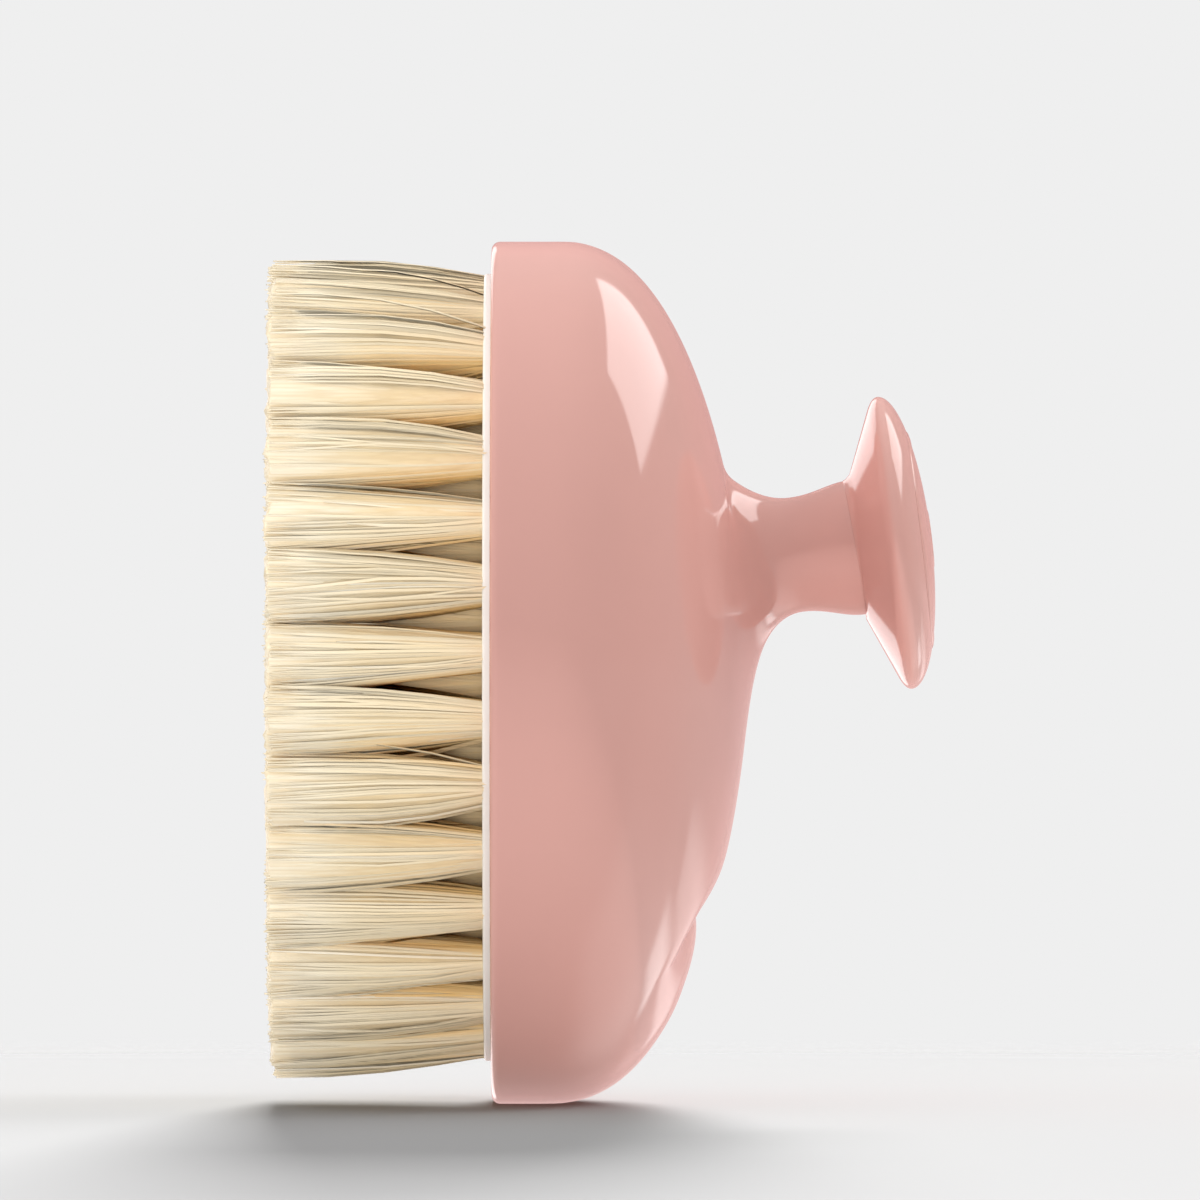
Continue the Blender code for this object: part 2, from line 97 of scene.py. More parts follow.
ROW_LENGTH = 49.6
ROW_WIDTH = 40.7
ROW_STEP = 8.7
ROW_COUNTS = (33, 27, 21, 14, 8)
CENTRE_PAIR = 4.1
TUFT_HOLE = 2.1
TIP_PLANE = -29.6
THREAD_BAND = (2.9, 4.0)
THREAD_HALF = 0.9

FIBRES = (155, 150, 140, 130, 130, 130)   # loose fibres per tuft, row by row
ROOT_SPREAD = 1.95
TIP_SPREAD = 5.25


# ---- shape rules ------------------------------------------------------------------------
def smoothstep(t):
    t = np.clip(t, 0.0, 1.0)
    return t * t * (3.0 - 2.0 * t)


def outline(inset, count):
    step = 2.0 * math.pi / count
    psi = (np.arange(count) + 0.5) * step
    s, c = np.sin(psi), np.cos(psi)
    e = 2.0 / PLAN_POWER
    y = (HALF_WIDTH - inset) * np.sign(s) * np.abs(s) ** e
    z = -(HALF_LENGTH - inset) * np.sign(c) * np.abs(c) ** e
    low = LENGTH / 2.0 - inset
    return y, np.clip(z, -low, low) + LENGTH / 2.0


def dome_level(x, y, z):
    rise = np.maximum(x - BAND, 0.0)
    zc = LENGTH / 2.0 + DOME_LEAN * rise
    u = np.abs(y) / HALF_WIDTH
    v = np.abs(z - zc) / HALF_LENGTH
    rho = (u ** PLAN_POWER + v ** PLAN_POWER) ** (1.0 / PLAN_POWER) + 1e-9
    t = rise / DOME_RISE
    level = t ** DOME_POWER_UP + rho ** DOME_POWER_OUT - 1.0
    gx = DOME_POWER_UP * t ** (DOME_POWER_UP - 1.0) / DOME_RISE
    gr = DOME_POWER_OUT * rho ** (DOME_POWER_OUT - 1.0)
    k = rho ** (1.0 - PLAN_POWER)
    gy = gr * k * u ** (PLAN_POWER - 1.0) / HALF_WIDTH
    gz = gr * k * v ** (PLAN_POWER - 1.0) / HALF_LENGTH
    return level / np.sqrt(gx * gx + gy * gy + gz * gz + 1e-8)


def neck_radius(a):
    d = np.clip(a, -18.0, 3.0) - NECK_WAIST_AT
    t = np.clip(d / -NECK_WAIST_AT, 0.0, 1.0) ** 1.15
    return NECK_WAIST + np.where(d < 0.0, NECK_FLARE * d * d, NECK_SWELL * t * t * (3.0 - 2.0 * t))


def axis_coords(x, y, z):
    dx, dz = x - NECK_END[0], z - NECK_END[1]
    a = dx * math.cos(TILT) + dz * math.sin(TILT)
    up = dz * math.cos(TILT) - dx * math.sin(TILT)
    return a, np.hypot(up, y), np.arctan2(np.abs(y), up)


def axis_point(a, r, phi):
    up = r * np.cos(phi)
    x = NECK_END[0] + a * math.cos(TILT) - up * math.sin(TILT)
    z = NECK_END[1] + a * math.sin(TILT) + up * math.cos(TILT)
    return np.stack([x, r * np.sin(phi) + 0.0 * x, z], axis=-1)


def blend_width(phi):
    return 0.9 + 6.0 * smoothstep((np.degrees(phi) - 50.0) / 90.0)


def skin_level(x, y, z):
    a, r, phi = axis_coords(x, y, z)
    slope = np.where(a < NECK_WAIST_AT, 2.0 * NECK_FLARE * (a - NECK_WAIST_AT), 0.15)
    neck = (r - neck_radius(a)) / np.sqrt(1.0 + slope * slope)
    dome = dome_level(x, y, z)
    k = blend_width(phi)
    h = np.maximum(k - np.abs(neck - dome), 0.0) / k
    body = np.minimum(neck, dome) - h * h * k / 4.0
    return np.maximum(body, np.maximum(-z, z - LENGTH)), dome - neck


SCOOP_EDGE_Z = 24.5
SCOOP_ARCH = 0.0125
SCOOP_DEPTH = 2.0
SCOOP_HALF = 27.0


def scoop_edge(y):
    return SCOOP_EDGE_Z - SCOOP_ARCH * y * y


def scoop_depth(y, z):
    d = (z - scoop_edge(y)) / np.sqrt(1.0 + (2.0 * SCOOP_ARCH * y) ** 2)
    fade = 1.0 - smoothstep((np.abs(y) - 12.0) / (SCOOP_HALF - 12.0))
    above = np.exp(-np.abs(np.maximum(d, 0.0) / 4.4) ** 1.8)
    below = 0.93 * np.exp(-np.maximum(-d, 0.0) / 5.0) * (1.0 - smoothstep((-d - 8.0) / 6.0))
    return SCOOP_DEPTH * fade * np.where(d >= 0.0, above, below)


def skin_lines(count, samples):
    y0, z0 = outline(0.0, count)
    pivot = axis_point(PIVOT, 0.0, 0.0)
    u = np.array([math.cos(TILT), 0.0, math.sin(TILT)])
    end = np.stack([np.full(count, EDGE), y0, z0], axis=-1) - pivot
    ax = end @ u
    out = end - ax[:, None] * u
    rad = np.linalg.norm(out, axis=1)
    out = out / rad[:, None]
    phi = np.arctan2(out[:, 1], out[:, 2] * math.cos(TILT) - out[:, 0] * math.sin(TILT))
    a_start = -CREASE_GAP / 2.0 - CREASE_TILT * KNOB_CREASE * np.cos(phi)
    first = np.arctan2(neck_radius(a_start), a_start - PIVOT)
    last = np.arctan2(rad, ax)
    t = np.linspace(0.0, 1.0, samples)
    theta = first[:, None] + (last - first)[:, None] * t[None, :]
    d = np.cos(theta)[..., None] * u + np.sin(theta)[..., None] * out[:, None, :]
    lo, hi = np.full(theta.shape, 2.0), np.full(theta.shape, 140.0)
    for _ in range(36):
        mid = 0.5 * (lo + hi)
        p = pivot + mid[..., None] * d
        inside = skin_level(p[..., 0], p[..., 1], p[..., 2])[0] < 0.0
        lo = np.where(inside, mid, lo)
        hi = np.where(inside, hi, mid)
    p = pivot + (0.5 * (lo + hi))[..., None] * d
    p[:, -1] = end + pivot
    return p, skin_level(p[..., 0], p[..., 1], p[..., 2])[1], phi


def first_crossing(values, s, level):
    below = values < level
    i = np.argmax(below, axis=1)
    ok = below.any(axis=1) & (i > 0)
    i = np.maximum(i, 1)
    row = np.arange(len(values))
    v0, v1 = values[row, i - 1], values[row, i]
    f = (v0 - level) / np.where(v0 == v1, 1.0, v0 - v1)
    return np.where(ok, s[row, i - 1] + f * (s[row, i] - s[row, i - 1]), np.nan)


def skin_rings(count, parts, samples):
    """Rings of the outer skin, crowded where its curve is tight: the foot of the neck and
    the edge of the finger scoop."""
    p, diff, phi = skin_lines(count, samples)
    step = np.linalg.norm(np.diff(p, axis=1), axis=2)
    s = np.concatenate([np.zeros((count, 1)), np.cumsum(step, axis=1)], axis=1)
    a = axis_coords(p[..., 0], p[..., 1], p[..., 2])[0]
    waist = first_crossing(a, s, NECK_WAIST_AT)
    foot = first_crossing(diff, s, 0.0)
    band = first_crossing(p[..., 0], s, BAND + 1.0)
    q = (first_crossing(np.where(p[..., 2] > 60.0, 99.0, p[..., 2] - scoop_edge(p[..., 1])), s, 0.0) - foot) / (band - foot)
    good = np.isfinite(q) & (q < 0.86) & (p[:, -1, 2] < 40.0)
    # from the last good line on, the mark eases to its mean share of the way
    side = np.where(good, q, np.nan)
    psi = np.abs(((np.arange(count) + 0.5) / count + 0.5) % 1.0 - 0.5)   # 0 at the lower end
    last = psi[good].max()
    edge_q = side[good][np.argmax(psi[good])]
    ease = smoothstep((psi - last) / 0.12)
    q = np.where(good, q, edge_q + (0.62 - edge_q) * ease)
    scoop = foot + q * (band - foot)
    marks = [np.zeros(count), waist, foot, scoop, band, s[:, -1]]
    crowd = [(0.0, 0.0), (0.0, 0.8), (0.75, 0.6), (0.6, 0.0), (0.0, 0.0)]
    at = []
    for m0, m1, n, (c0, c1) in zip(marks[:-1], marks[1:], parts, crowd):
        for i in range(n):
            w = i / n
            # c0 and c1 pull the rings towards the first and the last mark
            w = w - c0 * w * (1.0 - w) ** 2 * 1.0 + c1 * w * w * (1.0 - w)
            at.append(m0 + (m1 - m0) * w)
    at.append(marks[-1])
    at = np.stack(at)
    co = np.empty(at.shape + (3,))
    for j in range(count):
        for c in range(3):
            co[:, j, c] = np.interp(at[:, j], s[j], p[j, :, c])
    return co, phi


def dent(co):
    depth = scoop_depth(co[..., 1], co[..., 2]) * smoothstep((co[..., 0] - BAND - 1.6) / 1.6) * (co[..., 2] < 45.0)
    co[..., 0] -= depth
    return co


def lens(r):
    return KNOB_RIM_AT + KNOB_DOME * math.sqrt(max(0.0, 1.0 - (r / KNOB_RADIUS) ** 2))


def row_points(half_length, half_width, count, fine=4000):
    psi = np.linspace(0.0, 2.0 * math.pi, fine + 1)
    e = 2.0 / PLAN_POWER
    y = half_width * np.sign(np.sin(psi)) * np.abs(np.sin(psi)) ** e
    z = half_length * np.sign(np.cos(psi)) * np.abs(np.cos(psi)) ** e
    s = np.concatenate([[0.0], np.cumsum(np.hypot(np.diff(y), np.diff(z)))])
    at = np.arange(count) * s[-1] / count
    yy, zz = np.interp(at, s, y), np.interp(at, s, z)
    out = np.stack([yy / half_width ** 2, zz / half_length ** 2], axis=-1)
    out /= np.linalg.norm(out, axis=1)[:, None]
    return yy, zz + LENGTH / 2.0 + FIELD_SHIFT, out


def tuft_rows():
    rows = []
    for k, count in enumerate(ROW_COUNTS):
        y, z, out = row_points(ROW_LENGTH - k * ROW_STEP, ROW_WIDTH - k * ROW_STEP, count)
        rows.append((y, z, out, 0.8 - 0.15 * k))
    z = LENGTH / 2.0 + FIELD_SHIFT + np.array([CENTRE_PAIR, -CENTRE_PAIR])
    rows.append((np.zeros(2), z, np.array([[0.0, 1.0], [0.0, -1.0]]), 0.1))
    return rows


# ---- mesh helpers --------------------------------------------------------------------------
def to_world(co):
    """Base frame, millimetres, to the row frame, metres."""
    co = np.array(co, float)
    co[..., 0] -= FOOT_MID
    return co * MM


def add_mesh(name, co, quads, tris, mat, sharp=None, values=None):
    mesh = bpy.data.meshes.new(name)
    quads = np.asarray(quads, np.int64).reshape(-1, 4)
    tris = np.asarray(tris, np.int64).reshape(-1, 3)
    loops = np.concatenate([quads.ravel(), tris.ravel()]).astype(np.int32)
    starts = np.concatenate([np.arange(len(quads)) * 4, len(quads) * 4 + np.arange(len(tris)) * 3]).astype(np.int32)
    mesh.vertices.add(len(co))
    mesh.vertices.foreach_set("co", np.asarray(co, np.float32).ravel())
    mesh.loops.add(len(loops))
    mesh.loops.foreach_set("vertex_index", loops)
    mesh.polygons.add(len(starts))
    mesh.polygons.foreach_set("loop_start", starts)
    mesh.update(calc_edges=True)
    for key, value in (values or {}).items():
        layer = mesh.attributes.new(name=key, type="FLOAT", domain="POINT")
        layer.data.foreach_set("value", np.asarray(value, np.float32))
    mesh.materials.append(mat)
    mesh.shade_smooth()
    if sharp is not None:
        mesh.set_sharp_from_angle(angle=math.radians(sharp))
    obj = bpy.data.objects.new(name, mesh)
    bpy.context.scene.collection.objects.link(obj)
    return obj


def grid_faces(rings, around, closed):
    """Quads of a skin of rings x around points, wrapped round, and from the last ring back
    to the first if closed."""
    i = np.arange(rings if closed else rings - 1)[:, None]
    j = np.arange(around)[None, :]
    i1, j1 = (i + 1) % rings, (j + 1) % around
    return np.stack([i * around + j, i1 * around + j, i1 * around + j1, i * around + j1], axis=-1).reshape(-1, 4)


def outward(obj):
    bm = bmesh.new()
    bm.from_mesh(obj.data)
    bmesh.ops.recalc_face_normals(bm, faces=bm.faces)
    bm.to_mesh(obj.data)
    bm.free()
    return obj


def turned(profile, sides, tilt=None):
    """Points (axial, radius) turned about the knob's axis, in the base frame. A profile
    that starts and ends on the axis gives a closed solid, any other profile a ring."""
    prof = np.array(profile, float)
    solid = prof[0, 1] == 0.0 and prof[-1, 1] == 0.0
    body = prof[1:-1] if solid else prof
    ang = np.arange(sides) * 2.0 * math.pi / sides
    a = np.repeat(body[:, :1], sides, axis=1)
    r = np.repeat(body[:, 1:], sides, axis=1)
    phi = np.repeat(ang[None, :], len(body), axis=0)
    if tilt is not None:
        a0, a1, rmin = tilt
        w = np.clip((a1 - a) / 0.25, 0.0, 1.0) * (a >= a0) * (r > rmin)
        a = a - w * CREASE_TILT * r * np.cos(phi)
    co = axis_point(a, r, phi).reshape(-1, 3)
    quads = grid_faces(len(body), sides, not solid)
    tris = []
    if solid:
        n = len(co)
        co = np.concatenate([co, axis_point(prof[[0, -1], 0], 0.0, 0.0)])
        j = np.arange(sides)
        tris = np.concatenate([np.stack([np.full(sides, n), j, (j + 1) % sides], axis=-1),
                               np.stack([np.full(sides, n + 1), n - sides + (j + 1) % sides, n - sides + j], axis=-1)])
    return to_world(co), quads, tris


def round_corners(points, radius, steps=4):
    """Round the corners of a closed or open run of (axial, radius) points. Each point may
    carry its own radius as a third number."""
    out = []
    n = len(points)
    for i, pt in enumerate(points):
        r = pt[2] if len(pt) > 2 else radius
        p = np.array(pt[:2], float)
        if r <= 0.0 or i == 0 or i == n - 1:
            out.append(tuple(p))
            continue
        a, b = np.array(points[i - 1][:2], float), np.array(points[i + 1][:2], float)
        da, db = a - p, b - p
        la, lb = np.linalg.norm(da), np.linalg.norm(db)
        cut = min(r, 0.45 * la, 0.45 * lb)
        p0, p2 = p + da / la * cut, p + db / lb * cut
        for k in range(steps + 1):
            t = k / steps
            out.append(tuple((1 - t) ** 2 * p0 + 2 * t * (1 - t) * p + t * t * p2))
    return out


# ---- materials ---------------------------------------------------------------------------------
class Nodes:
    """Short hand for building a node tree."""

    def __init__(self, tree):
        self.tree = tree

    def add(self, kind, **settings):
        node = self.tree.nodes.new(kind)
        for key, value in settings.items():
            setattr(node, key, value)
        return node

    def link(self, a, b):
        self.tree.links.new(a, b)

    def math(self, op, a, b=None, c=None, clamp=False):
        node = self.add("ShaderNodeMath", operation=op, use_clamp=clamp)
        for k, v in enumerate((a, b, c)):
            if v is None:
                continue
            if isinstance(v, (int, float)):
                node.inputs[k].default_value = v
            else:
                self.link(v, node.inputs[k])
        return node.outputs[0]

    def remap(self, value, a, b, c, d, smooth=False):
        node = self.add("ShaderNodeMapRange")
        if smooth:
            node.interpolation_type = "SMOOTHSTEP"
        self.link(value, node.inputs["Value"])
        for name, v in (("From Min", a), ("From Max", b), ("To Min", c), ("To Max", d)):
            node.inputs[name].default_value = v
        return node.outputs["Result"]

    def mix(self, factor, a, b, mode="MIX"):
        node = self.add("ShaderNodeMix", data_type="RGBA", blend_type=mode)
        sockets = [s for s in node.inputs if s.enabled]
        for socket, v in zip(sockets, (factor, a, b)):
            if isinstance(v, (int, float)):
                socket.default_value = v
            elif isinstance(v, tuple):
                socket.default_value = (*v, 1.0)
            else:
                self.link(v, socket)
        return [s for s in node.outputs if s.enabled][0]

    def noise(self, vector, scale, detail=3.0, rough=0.5):
        node = self.add("ShaderNodeTexNoise")
        node.inputs["Scale"].default_value = scale
        node.inputs["Detail"].default_value = detail
        node.inputs["Roughness"].default_value = rough
        self.link(vector, node.inputs["Vector"])
        return node.outputs["Fac"]

    def scaled(self, vector, scale):
        node = self.add("ShaderNodeMapping")
        node.inputs["Scale"].default_value = scale
        self.link(vector, node.inputs["Vector"])
        return node.outputs["Vector"]


def new_material(name):
    mat = bpy.data.materials.new(name)
    mat.use_nodes = True
    nodes = Nodes(mat.node_tree)
    bsdf = mat.node_tree.nodes["Principled BSDF"]
    place = nodes.add("ShaderNodeTexCoord").outputs["Object"]
    return mat, nodes, bsdf, place


def gloss_plastic(name, colour, rough):
    """Moulded glossy plastic: very slight cloudiness of the pigment, a faint ripple left
    by the mould, and small differences of polish."""
    mat, n, bsdf, place = new_material(name)
    cloud = n.noise(place, 38.0, 3.0, 0.55)
    speck = n.noise(place, 900.0, 2.0, 0.6)
    light = tuple(min(1.0, c * 1.018) for c in colour)
    dark = tuple(c * 0.982 for c in colour)
    body = n.mix(n.remap(cloud, 0.3, 0.7, 0.0, 1.0), dark, light)
    body = n.mix(n.remap(speck, 0.60, 0.72, 0.0, 0.05), body, tuple(c * 0.9 for c in colour))
    n.link(body, bsdf.inputs["Base Color"])
    haze = n.noise(place, 120.0, 4.0, 0.6)
    n.link(n.remap(haze, 0.3, 0.7, rough - 0.010, rough + 0.014), bsdf.inputs["Roughness"])
    ripple = n.noise(place, 170.0, 1.0, 0.4)
    bump = n.add("ShaderNodeBump")
    bump.inputs["Strength"].default_value = 0.05
    bump.inputs["Distance"].default_value = 0.00002
    n.link(ripple, bump.inputs["Height"])
    n.link(bump.outputs["Normal"], bsdf.inputs["Normal"])
    bsdf.inputs["IOR"].default_value = 1.5
    return mat


def satin_white(name):
    mat, n, bsdf, place = new_material(name)
    cloud = n.noise(place, 60.0, 3.0, 0.5)
    body = n.mix(n.remap(cloud, 0.3, 0.7, 0.0, 1.0), (0.85, 0.82, 0.77), (0.88, 0.85, 0.80))
    n.link(body, bsdf.inputs["Base Color"])
    fine = n.noise(place, 1800.0, 3.0, 0.6)
    n.link(n.remap(fine, 0.3, 0.7, 0.30, 0.40), bsdf.inputs["Roughness"])
    bump = n.add("ShaderNodeBump")
    bump.inputs["Strength"].default_value = 0.15
    bump.inputs["Distance"].default_value = 0.00002
    n.link(fine, bump.inputs["Height"])
    n.link(bump.outputs["Normal"], bsdf.inputs["Normal"])
    return mat


def zinc_steel(name):
    mat, n, bsdf, place = new_material(name)
    stretch = n.scaled(place, (300.0, 2400.0, 2400.0))
    grain = n.noise(stretch, 1.0, 4.0, 0.6)
    body = n.mix(n.remap(grain, 0.3, 0.7, 0.0, 1.0), (0.52, 0.53, 0.53), (0.68, 0.69, 0.68))
    n.link(body, bsdf.inputs["Base Color"])
    bsdf.inputs["Metallic"].default_value = 1.0
    n.link(n.remap(grain, 0.2, 0.8, 0.26, 0.42), bsdf.inputs["Roughness"])
    return mat


def plant_fibre(name):
    """Cream plant fibre: every fibre has its own tone, roots are a deeper straw yellow, partly the fibre's own tint
    and partly painted shade, fibres that face the gaps between the tufts carry a painted amber shade, and the cut tips
    are paler, with fine streaks along the fibre."""
    mat, n, bsdf, place = new_material(name)
    tone = n.add("ShaderNodeAttribute", attribute_name="tone").outputs["Fac"]
    along = n.add("ShaderNodeAttribute", attribute_name="along").outputs["Fac"]
    deep = n.add("ShaderNodeAttribute", attribute_name="deep").outputs["Fac"]
    packed = n.add("ShaderNodeAttribute", attribute_name="packed").outputs["Fac"]
    # the fibres packed in a bundle show as strands on its skin and as cells on its cut end
    cell = n.add("ShaderNodeTexVoronoi")
    cell.inputs["Scale"].default_value = 1.0
    n.link(n.scaled(place, (50.0, 2300.0, 2300.0)), cell.inputs["Vector"])
    parted = n.math("MULTIPLY", cell.outputs["Distance"], packed)
    tone = n.math("MULTIPLY_ADD", n.remap(cell.outputs["Color"], 0.2, 0.8, -0.22, 0.22), packed, tone)
    ramp = n.add("ShaderNodeValToRGB")
    stops = ramp.color_ramp
    stops.elements[0].position = 0.0
    stops.elements[0].color = (0.89, 0.725, 0.44, 1.0)
    stops.elements[1].position = 1.0
    stops.elements[1].color = (0.97, 0.935, 0.83, 1.0)
    for at, col in ((0.25, (0.91, 0.785, 0.55)), (0.6, (0.925, 0.83, 0.63)), (0.88, (0.945, 0.88, 0.73))):
        stop = stops.elements.new(at)
        stop.color = (*col, 1.0)
    n.link(tone, ramp.inputs["Fac"])
    # darker straw towards the roots: partly the fibre's own tint, partly painted shade deep in the bristles near the
    # plate
    root = n.mix(n.remap(along, 0.0, 0.85, 0.85, 0.0), ramp.outputs["Color"], (0.755, 0.62, 0.425))
    # the fibres that look into the gaps between the tufts are painted a deeper amber: painted shade in the gaps
    painted_gap_shade = n.mix(n.remap(deep, 0.0, 1.0, 0.0, 0.90), root, (0.88, 0.57, 0.21))
    tip = n.mix(n.remap(along, 0.60, 1.0, 0.0, 0.45, True), painted_gap_shade, (0.955, 0.91, 0.81))
    streak = n.noise(n.scaled(place, (60.0, 5200.0, 5200.0)), 1.0, 3.0, 0.6)
    lock = n.noise(n.scaled(place, (34.0, 1300.0, 1300.0)), 1.0, 2.0, 0.5)
    strand = n.mix(n.remap(streak, 0.32, 0.68, 0.13, 0.0), tip, (0.82, 0.64, 0.36))
    body = n.mix(n.remap(lock, 0.35, 0.65, 0.15, 0.0), strand, (0.83, 0.66, 0.38))
    body = n.mix(n.remap(parted, 0.35, 0.80, 0.0, 0.34, True), body, (0.70, 0.52, 0.29))
    n.link(body, bsdf.inputs["Base Color"])
    n.link(n.remap(streak, 0.3, 0.7, 0.58, 0.42), bsdf.inputs["Roughness"])
    bump = n.add("ShaderNodeBump")
    bump.inputs["Strength"].default_value = 0.5
    bump.inputs["Distance"].default_value = 0.00004
    n.link(n.math("MULTIPLY_ADD", parted, -2.5, streak), bump.inputs["Height"])
    n.link(bump.outputs["Normal"], bsdf.inputs["Normal"])
    bsdf.inputs["Specular IOR Level"].default_value = 0.3
    return mat


# ---- the pieces --------------------------------------------------------------------------------
AROUND = 480


def make_shell(mat):
    co, phi = skin_rings(AROUND, (10, 16, 44, 36, 4), 1400)
    co = dent(co)

    def flat(x, inset, shift=0.0):
        y, z = outline(inset, AROUND)
        return np.stack([np.full(AROUND, x), y, z + shift], axis=-1)

    rings = [ring for ring in co]
    for k in range(1, 8):
        t = k / 7.0 * math.pi / 2.0
        rings.append(flat(EDGE * (1.0 - math.sin(t)), EDGE * (1.0 - math.cos(t))))
    rings.append(flat(0.0, EDGE + 1.2, FIELD_SHIFT * 0.3))
    rings.append(flat(0.0, SEAT_INSET - 0.25, FIELD_SHIFT))
    rings.append(flat(0.08, SEAT_INSET - 0.07, FIELD_SHIFT))
    rings.append(flat(0.25, SEAT_INSET, FIELD_SHIFT))
    rings.append(flat(SEAT_DEPTH, SEAT_INSET, FIELD_SHIFT))
    rings.append(flat(SEAT_DEPTH, LEDGE_INSET, FIELD_SHIFT))
    core = axis_point(-17.0, NECK_CORE, phi)
    edge = flat(6.0, LEDGE_INSET, FIELD_SHIFT)
    for w in (1.0, 0.98, 0.95, 0.90, 0.83, 0.74, 0.64, 0.53, 0.42, 0.31, 0.20, 0.1, 0.0):
        y = core[:, 1] + w * (edge[:, 1] - core[:, 1])
        z = core[:, 2] + w * (edge[:, 2] - core[:, 2])
        u = np.abs(y) / (HALF_WIDTH - LEDGE_INSET)
        v = np.abs(z - LENGTH / 2.0 - 0.4) / (HALF_LENGTH - LEDGE_INSET)
        rho = np.minimum((u ** 2.2 + v ** 2.2) ** (1 / 2.2), 1.0)
        x = 6.0 + (CAVITY_RISE - 6.0) * (1.0 - rho ** 1.9) ** (1.0 / 2.8)
        x = x - 1.9 * np.exp(-((z - 22.0) / 9.0) ** 2 - (y / 22.0) ** 2)
        if w == 1.0:
            x = np.full(AROUND, 6.0)
        rings.append(np.stack([np.maximum(x, 6.0), y, z], axis=-1))
    rings.append(axis_point(NECK_CORE_TOP, NECK_CORE, phi))
    rings.append(axis_point(NECK_CORE_TOP, SCREW_HOLE, phi))
    rings.append(axis_point(-BOSS_RECESS_DEPTH, SCREW_HOLE, phi))
    rings.append(axis_point(-BOSS_RECESS_DEPTH, BOSS_RECESS, phi))
    rings.append(axis_point(-CREASE_GAP / 2.0 - CREASE_TILT * BOSS_RECESS * np.cos(phi), BOSS_RECESS, phi))
    rings = np.stack(rings)
    obj = add_mesh("shell_skin", to_world(rings.reshape(-1, 3)), grid_faces(len(rings), AROUND, True), [], mat)
    outward(obj)
    obj.data.set_sharp_from_angle(angle=math.radians(32.0))
    return obj


def bezier(p0, p1, p2, steps):
    p0, p1, p2 = (np.array(p, float) for p in (p0, p1, p2))
    return [tuple((1 - t) ** 2 * p0 + 2 * t * (1 - t) * p1 + t * t * p2) for t in np.linspace(0.0, 1.0, steps + 1)]


def lens_run(r0, r1, steps):
    """Points down the knob's outer dome from radius r0 to r1, even in arc."""
    t0, t1 = math.asin(min(1.0, r0 / KNOB_RADIUS)), math.asin(min(1.0, r1 / KNOB_RADIUS))
    out = []
    for t in np.linspace(t0, t1, steps + 1):
        r = KNOB_RADIUS * math.sin(t)
        out.append((lens(r) if t < math.pi / 2 - 1e-6 else KNOB_RIM_AT, r))
    return out


def make_knob(mat):
    cone = lambda r: GAP / 2.0 + (r - KNOB_CREASE) * (4.15 - GAP / 2.0) / (18.7 - KNOB_CREASE)
    profile = [(SPIGOT_END, SCREW_HOLE), (SPIGOT_END, SPIGOT - 0.2), (SPIGOT_END + 0.2, SPIGOT), (CREASE_GAP / 2.0, SPIGOT)]
    profile += [(CREASE_GAP / 2.0, KNOB_CREASE - 0.02)]
    profile += bezier((CREASE_GAP / 2.0 + 0.02, KNOB_CREASE), (CREASE_GAP / 2.0 + 0.03, KNOB_CREASE + 0.02), (cone(9.2), 9.2), 3)
    profile += [(cone(r), r) for r in np.linspace(9.8, 17.2, 10)]
    meet = cone(KNOB_RADIUS)
    profile += bezier((cone(17.9), 17.9), (meet, KNOB_RADIUS), (KNOB_RIM_AT + 0.05, KNOB_RADIUS), 12)
    face = lens_run(SEAM_RADIUS + 0.18, KNOB_RADIUS, 26)[::-1][1:]
    profile += face
    r = SEAM_RADIUS + SEAM / 2.0
    profile += [(lens(r) - 0.02, r + 0.08), (lens(r) - 0.1, r)]
    profile += [(6.9, r), (6.9, 12.9), (4.6, 12.6), (2.7, 9.0), (2.7, SCREW_HOLE)]
    co, quads, tris = turned(profile, 256, (-0.2, 0.4, 5.0))
    obj = add_mesh("knob_body", co, quads, tris, mat)
    outward(obj)
    obj.data.set_sharp_from_angle(angle=math.radians(32.0))
    return obj


def make_cap(mat):
    r = SEAM_RADIUS - SEAM / 2.0
    pad = [(lens(0.0) + PAD_RAISE, 0.0)] + [(lens(q) + PAD_RAISE, q) for q in np.linspace(0.5, 3.1, 7)]
    pad += bezier((lens(3.3) + PAD_RAISE, 3.3), (lens(3.6) + PAD_RAISE, 3.6), (lens(3.8) + PAD_RAISE / 2.0, 3.8), 4)
    pad += bezier((lens(3.9) + PAD_RAISE / 4.0, 3.9), (lens(4.05), 4.05), (lens(4.3), 4.3), 3)
    run = [(lens(q), q) for q in np.linspace(4.7, 12.7, 17)]
    ring = bezier((lens(12.95), 12.95), (lens(13.15), 13.15), (lens(13.25) + 0.35 * CAP_RAISE, 13.25), 4)
    ring += bezier((lens(13.3) + 0.6 * CAP_RAISE, 13.3), (lens(13.4) + CAP_RAISE, 13.4), (lens(13.65) + CAP_RAISE, 13.65), 4)
    ring += bezier((lens(14.1) + CAP_RAISE, 14.1), (lens(14.4) + CAP_RAISE, 14.4), (lens(14.5) + 0.55 * CAP_RAISE, 14.5), 5)
    ring += [(lens(r) + 0.02, r - 0.02), (lens(r) - 0.15, r)]
    under = [(7.2, r), (7.2, 13.1), (8.2, 12.0), (8.75, 6.0), (8.9, 0.0)]
    co, quads, tris = turned(pad + run + ring + under, 256)
    obj = add_mesh("knob_cap_disc", co, quads, tris, mat)
    outward(obj)
    obj.data.set_sharp_from_angle(angle=math.radians(32.0))
    return obj


